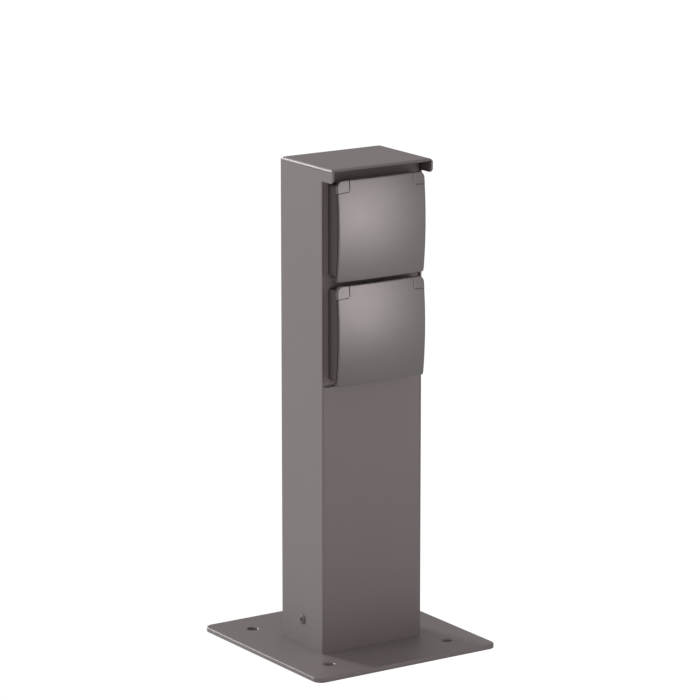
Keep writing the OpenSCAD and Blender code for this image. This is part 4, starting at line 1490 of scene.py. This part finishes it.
@dataclass
class LidSpring:
    """Coil spring on the hinge pin, with one leg on the frame's floor and one behind the lid."""

    form: LidForm = LidForm()
    wire: float = 0.8
    turns: float = 5.5
    coil_r: float = 2.4
    pitch: float = 1.6
    leg: float = 10.0
    knee: float = 4.0
    knee_bend: float = 1.2
    foot: float = 6.0
    leg_gap: float = 0.1
    floor_p: float = SocketFrame.floor

    def coil(self) -> Array:
        """Points of the helix round the hinge, from behind the pin to its front, as x, height and depth.

        Returns:
            Rows of x, height and depth.
        """
        t = np.linspace(0, self.turns, int(self.turns * 28))
        x = (t - self.turns / 2) * self.pitch
        y, p = self.coil_r * np.sin(2 * np.pi * t), -self.coil_r * np.cos(2 * np.pi * t)
        return np.column_stack([x, y + self.form.hinge_y, p + self.form.hinge_p])

    def build_coil(self) -> Shell:
        """Coil and the leg that stands on the frame's floor.

        Returns:
            The shell.
        """
        coil = self.coil()
        x = coil[0, 0]
        drop = np.linspace(0, 1, 12)[:-1, None]
        foot = np.array([x, self.form.hinge_y - self.foot, self.floor_p + self.wire / 2])
        knee = np.array([x, self.form.hinge_y - self.knee, self.form.hinge_p - self.coil_r])
        bend = knee - np.array([0, self.knee_bend, 0])
        lower = (1 - drop) ** 2 * foot + 2 * drop * (1 - drop) * bend + drop**2 * knee
        upper = knee + (coil[0] - knee) * np.linspace(0, 1, 6)[:-1, None]
        return tube(np.vstack([lower, upper, coil]), self.wire / 2)

    def build_leg(self) -> Shell:
        """Leg behind the lid, from the coil's end.

        Returns:
            The shell.
        """
        start = self.coil()[-1]
        y = self.form.hinge_y - self.leg
        lid_p = self.form.depth(np.array(start[0]), np.array(y), self.form.thickness)
        end = np.array([start[0], y, float(lid_p) - self.wire / 2 - self.leg_gap])
        return tube(start + (end - start) * np.linspace(0, 1, 14)[:, None], self.wire / 2)


class Level(Enum):
    """The two sockets, by the heights of their lids' middles."""

    UPPER = 368.2
    LOWER = 279.5


@dataclass
class Socket:
    """One socket with its lid, at one height of the post."""

    level: Level
    front_y: float = Post.front_y
    lid_bevel: float = 0.4

    def put(
        self, name: str, shell: Shell, slot: str, body: str, node: str, bevel: float = 0.0
    ) -> None:
        """Makes one piece of this socket.

        Args:
            name: Of the piece, without the socket's level.
            shell: Its surface, by x, height over the lid's middle, and depth before the post.
            slot: Material slot that it is finished in.
            body: Body that it rides on.
            node: Node that it replaces, without the level.
            bevel: Width of a rounded edge on every sharp edge, or 0.
        """
        side = self.level.name.lower()
        placed = shell.placed((0, self.front_y, self.level.value), Way.FACING)
        make_piece(f"{side}_{name}", placed, slot, body, [f"{side}_{node}"], bevel)

    def dress(self) -> None:
        """Makes the frame, the cover, the hinge and the lid."""
        flap = f"{self.level.name.lower()}_flap"
        lid, spring, face = Lid(), LidSpring(), SocketFace()
        self.put("frame_wall", SocketFrame().build(), "frame_plastic", "post", "frame")
        self.put("cover_face", face.build_cover(), "lid_plastic", "post", "cover")
        self.put("earth_legs", face.build_clip(), "brass", "post", "earth_clip")
        self.put("cap_pair", HingeCaps().build(), "lid_plastic", "post", "hinge_caps")
        self.put("spring_coil", spring.build_coil(), "steel", "post", "lid_spring")
        self.put("spring_leg", spring.build_leg(), "steel", flap, "lid_spring")
        self.put("lid_skin", lid.build(), "lid_plastic", flap, "lid", self.lid_bevel)
        self.put("lid_eyes", lid.build_knuckles(), "lid_plastic", flap, "lid")
        self.put("lid_rib", lid.build_rib(), "lid_plastic", flap, "lid")
        self.put("seal_ring", lid.build_seal(), "rubber", flap, "lid_seal")


@dataclass
class Wiring:
    """Inner wires between the terminal block and the sockets, each held at both ends."""

    radius: float = 1.7
    pole_pitch: float = 14.0
    pole_y: float = 5.2
    lug_y: float = 8.0
    lug_z: float = 56.0
    run_y: float = 17.2
    end_y: float = -8.8
    held: float = 8.0
    lead: float = 13.0
    bond_lead: float = 3.0
    block_z: float = 70.0
    block_h: float = 22.0
    lower_z: float = Level.LOWER.value + LidForm.dish_y
    upper_z: float = Level.UPPER.value + LidForm.dish_y
    pair: float = 6.0
    bend_r: float = 11.0
    crimp_bend_r: float = 3.0

    def route(self, x: float, corners: Sequence[Sequence[float]], radius: float) -> Array:
        """Points of a wire in an upright plane: straight runs between corners, each rounded by an arc.

        Args:
            x: The plane's place.
            corners: Places of the corners, as y and z.
            radius: Of the arcs.

        Returns:
            Points along the centre line.
        """
        places = np.array(corners, float)
        middle = [
            Outline.corner(places[i - 1], places[i], places[i + 1], radius, 12)[0]
            for i in range(1, len(places) - 1)
        ]
        line = np.vstack([places[:1], *middle, places[-1:]])
        return np.column_stack([np.full(len(line), x), line])

    def routes(self, pole: int) -> list[Array]:
        """The two wires of one pole: from the block to the lower socket, and on to the upper one.

        Args:
            pole: -1, 0 or 1, from left to right.

        Returns:
            Points along each wire.
        """
        x, top = pole * self.pole_pitch, self.block_z + self.block_h
        first = [
            (self.pole_y, top - self.held),
            (self.pole_y, top + self.lead),
            (self.run_y, top + self.lead + self.run_y - self.pole_y),
            (self.run_y, self.lower_z - self.pair),
            (self.end_y, self.lower_z - self.pair),
        ]
        second = [
            (self.end_y, self.lower_z + self.pair),
            (self.run_y, self.lower_z + self.pair),
            (self.run_y, self.upper_z - self.pair),
            (self.end_y, self.upper_z - self.pair),
        ]
        return [self.route(x, first, self.bend_r), self.route(x, second, self.bend_r)]

    def bond(self) -> Array:
        """The short wire from the block down to the earth lug.

        Returns:
            Points along the wire.
        """
        low = self.block_z - self.bond_lead
        corners = [
            (self.pole_y, self.block_z + self.held),
            (self.pole_y, low),
            (self.lug_y, low - self.lug_y + self.pole_y),
            (self.lug_y, self.lug_z),
        ]
        return self.route(self.pole_pitch, corners, self.crimp_bend_r)

    def dress(self) -> None:
        """Makes the wires of each pole one piece; an attribute tells the two sides of a wire apart."""
        for pole, slot in ((-1, "live_wire"), (0, "neutral_wire"), (1, "earth_wire")):
            lines = self.routes(pole) + ([self.bond()] if pole == 1 else [])
            shell = Shell.joined([tube(line, self.radius) for line in lines])
            made = make_piece(f"{slot}_runs", shell, slot, "post", [f"{slot}s"])
            around = made.data.attributes.new("around", "FLOAT", "POINT")
            off = shell.points[:, 0] - pole * self.pole_pitch
            around.data.foreach_set("value", off / self.radius)


class CarriedNodes:
    """Nodes of the frame that keep their own shape and get a finish."""

    @staticmethod
    def dress() -> None:
        """Gives every node that is still shown the finish of its slot."""
        slots = {row["node"]: row["material_slot"] for row in frame["record"]["subparts"]}
        for name, node in frame["nodes"].items():
            node.data.materials.clear()
            node.data.materials.append(Finishes.of(slots[name]).material())
            if not node.hide_render:
                LOG.info("%s keeps its shape, in %s", name, slots[name])


@dataclass(frozen=True)
class FarLamp:
    """A soft light far away: where it stands, round from the front towards the right and up, in degrees."""

    name: str
    azimuth: float
    elevation: float
    strength: float
    spread: float = 28.0

    def build(self) -> None:
        """Adds the lamp, turned so that its light comes from its place in the room."""
        data = bpy.data.lights.new(self.name, "SUN")
        data.energy = self.strength
        data.angle = math.radians(self.spread)
        turn = (math.radians(90 - self.elevation), 0.0, math.radians(self.azimuth))
        show(self.name, data).rotation_euler = turn


@dataclass(frozen=True)
class SoftBox:
    """A lit panel: place, aim and size in metres, power in watts, tint, and a node kept in its shade."""

    name: str
    place: tuple[float, float, float]
    aim: tuple[float, float, float]
    size: tuple[float, float]
    power: float
    tint: tuple[float, float, float]
    shaded: str

    def build(self) -> None:
        """Adds the panel, turned to its aim; its light is kept off one node, as by a flag on a stand."""
        data = bpy.data.lights.new(self.name, "AREA")
        data.shape = "RECTANGLE"
        data.size, data.size_y = self.size
        data.energy = self.power
        data.color = self.tint
        lamp = show(self.name, data)
        lamp.location = self.place
        x, y, z = np.array(self.aim) - np.array(self.place)
        lamp.rotation_euler = (math.atan2(math.hypot(x, y), -z), 0.0, math.atan2(-x, y))
        flag = bpy.data.collections.new(f"{self.name}_flag")
        flag.objects.link(frame["nodes"][self.shaded])
        lamp.light_linking.receiver_collection = flag
        flag.collection_objects[0].light_linking.link_state = "EXCLUDE"


@dataclass
class Studio:
    """Pale floor, soft lights and the camera at the photograph's viewing angle."""

    lens: float = 200.29
    sensor: float = 36.0
    far: float = 50.0
    eye: tuple[float, float, float] = (-1.76803, -2.66739, 0.99536)
    pitch: float = 13.0361
    heading: float = -33.5497
    floor_half: float = 30.0
    floor_tone: float = 0.72
    floor_glow: float = 0.1
    floor_seen: float = 1.02
    sky: tuple[float, float, float, float] = (1.0, 0.995, 0.99, 1.0)
    sky_strength: float = 0.49
    lamps: tuple[FarLamp | SoftBox, ...] = (
        FarLamp("key", -165, 13, 4.5, 12.0),
        FarLamp("rear", 180, 30, 0.3),
        FarLamp("front", 12, 11, 0.2, 10.0),
        FarLamp("left", -100, 30, 1.0),
        FarLamp("top", 0, 80, 0.7, 30.0),
        SoftBox(
            "glow",
            place=(0.595, -1.205, 0.245),
            aim=(0.0, -0.05, 0.325),
            size=(0.32, 0.47),
            power=4.6,
            tint=(1.0, 0.9, 0.9),
            shaded="carrier_plate",
        ),
    )

    def camera(self) -> None:
        """Sets the camera."""
        data = bpy.data.cameras.new("view")
        data.lens = self.lens
        data.sensor_width = self.sensor
        data.clip_end = self.far
        eye = show("view", data)
        eye.location = self.eye
        eye.rotation_euler = (math.radians(90 - self.pitch), 0.0, math.radians(self.heading))
        bpy.context.scene.camera = eye

    def floor(self) -> None:
        """Lays a wide level grid at height 0: pale to the lights, and plain white to the camera itself."""
        run = np.linspace(-self.floor_half, self.floor_half, 5)
        x, y = np.meshgrid(run, run)
        shell = Shell.grid(np.stack([x, y, np.zeros_like(x)], axis=-1))
        mesh = bpy.data.meshes.new("floor")
        mesh.from_pydata(shell.points.tolist(), [], shell.quads.tolist())
        made = bpy.data.materials.new("pale_floor")
        made.use_nodes = True
        nodes = Nodes(made.node_tree)
        seen = nodes.add("LightPath").outputs["Is Camera Ray"]
        shade = nodes.maths("MULTIPLY_ADD", seen, -self.floor_tone, self.floor_tone)
        glow = nodes.maths("MULTIPLY_ADD", seen, self.floor_seen - self.floor_glow, self.floor_glow)
        shader = made.node_tree.nodes["Principled BSDF"]
        values = {"Base Color": shade, "Emission Strength": glow, "Emission Color": (1.0, 1.0, 1.0, 1.0)}
        values |= {"Roughness": 1.0, "Specular IOR Level": 0.0}
        for name, value in values.items():
            nodes.feed(shader.inputs[name], value)
        mesh.materials.append(made)
        floor = show("floor", mesh)

    def light(self) -> None:
        """Sets the sky and the lamps."""
        world = bpy.data.worlds.new("white_room")
        world.use_nodes = True
        sky = world.node_tree.nodes["Background"]
        sky.inputs["Color"].default_value = self.sky
        sky.inputs["Strength"].default_value = self.sky_strength
        bpy.context.scene.world = world
        bpy.context.scene.view_settings.view_transform = "Standard"
        for lamp in self.lamps:
            lamp.build()

    def dress(self) -> None:
        """Sets the whole stage."""
        self.camera()
        self.floor()
        self.light()


def main() -> None:
    """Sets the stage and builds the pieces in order."""
    logging.basicConfig(level=logging.INFO, format="%(name)s: %(message)s")
    Studio().dress()
    BasePlate().dress()
    Post().dress()
    FixingScrews().dress()
    for level in Level:
        Socket(level).dress()
    Wiring().dress()
    CarriedNodes.dress()


if __name__ == "__main__":
    main()
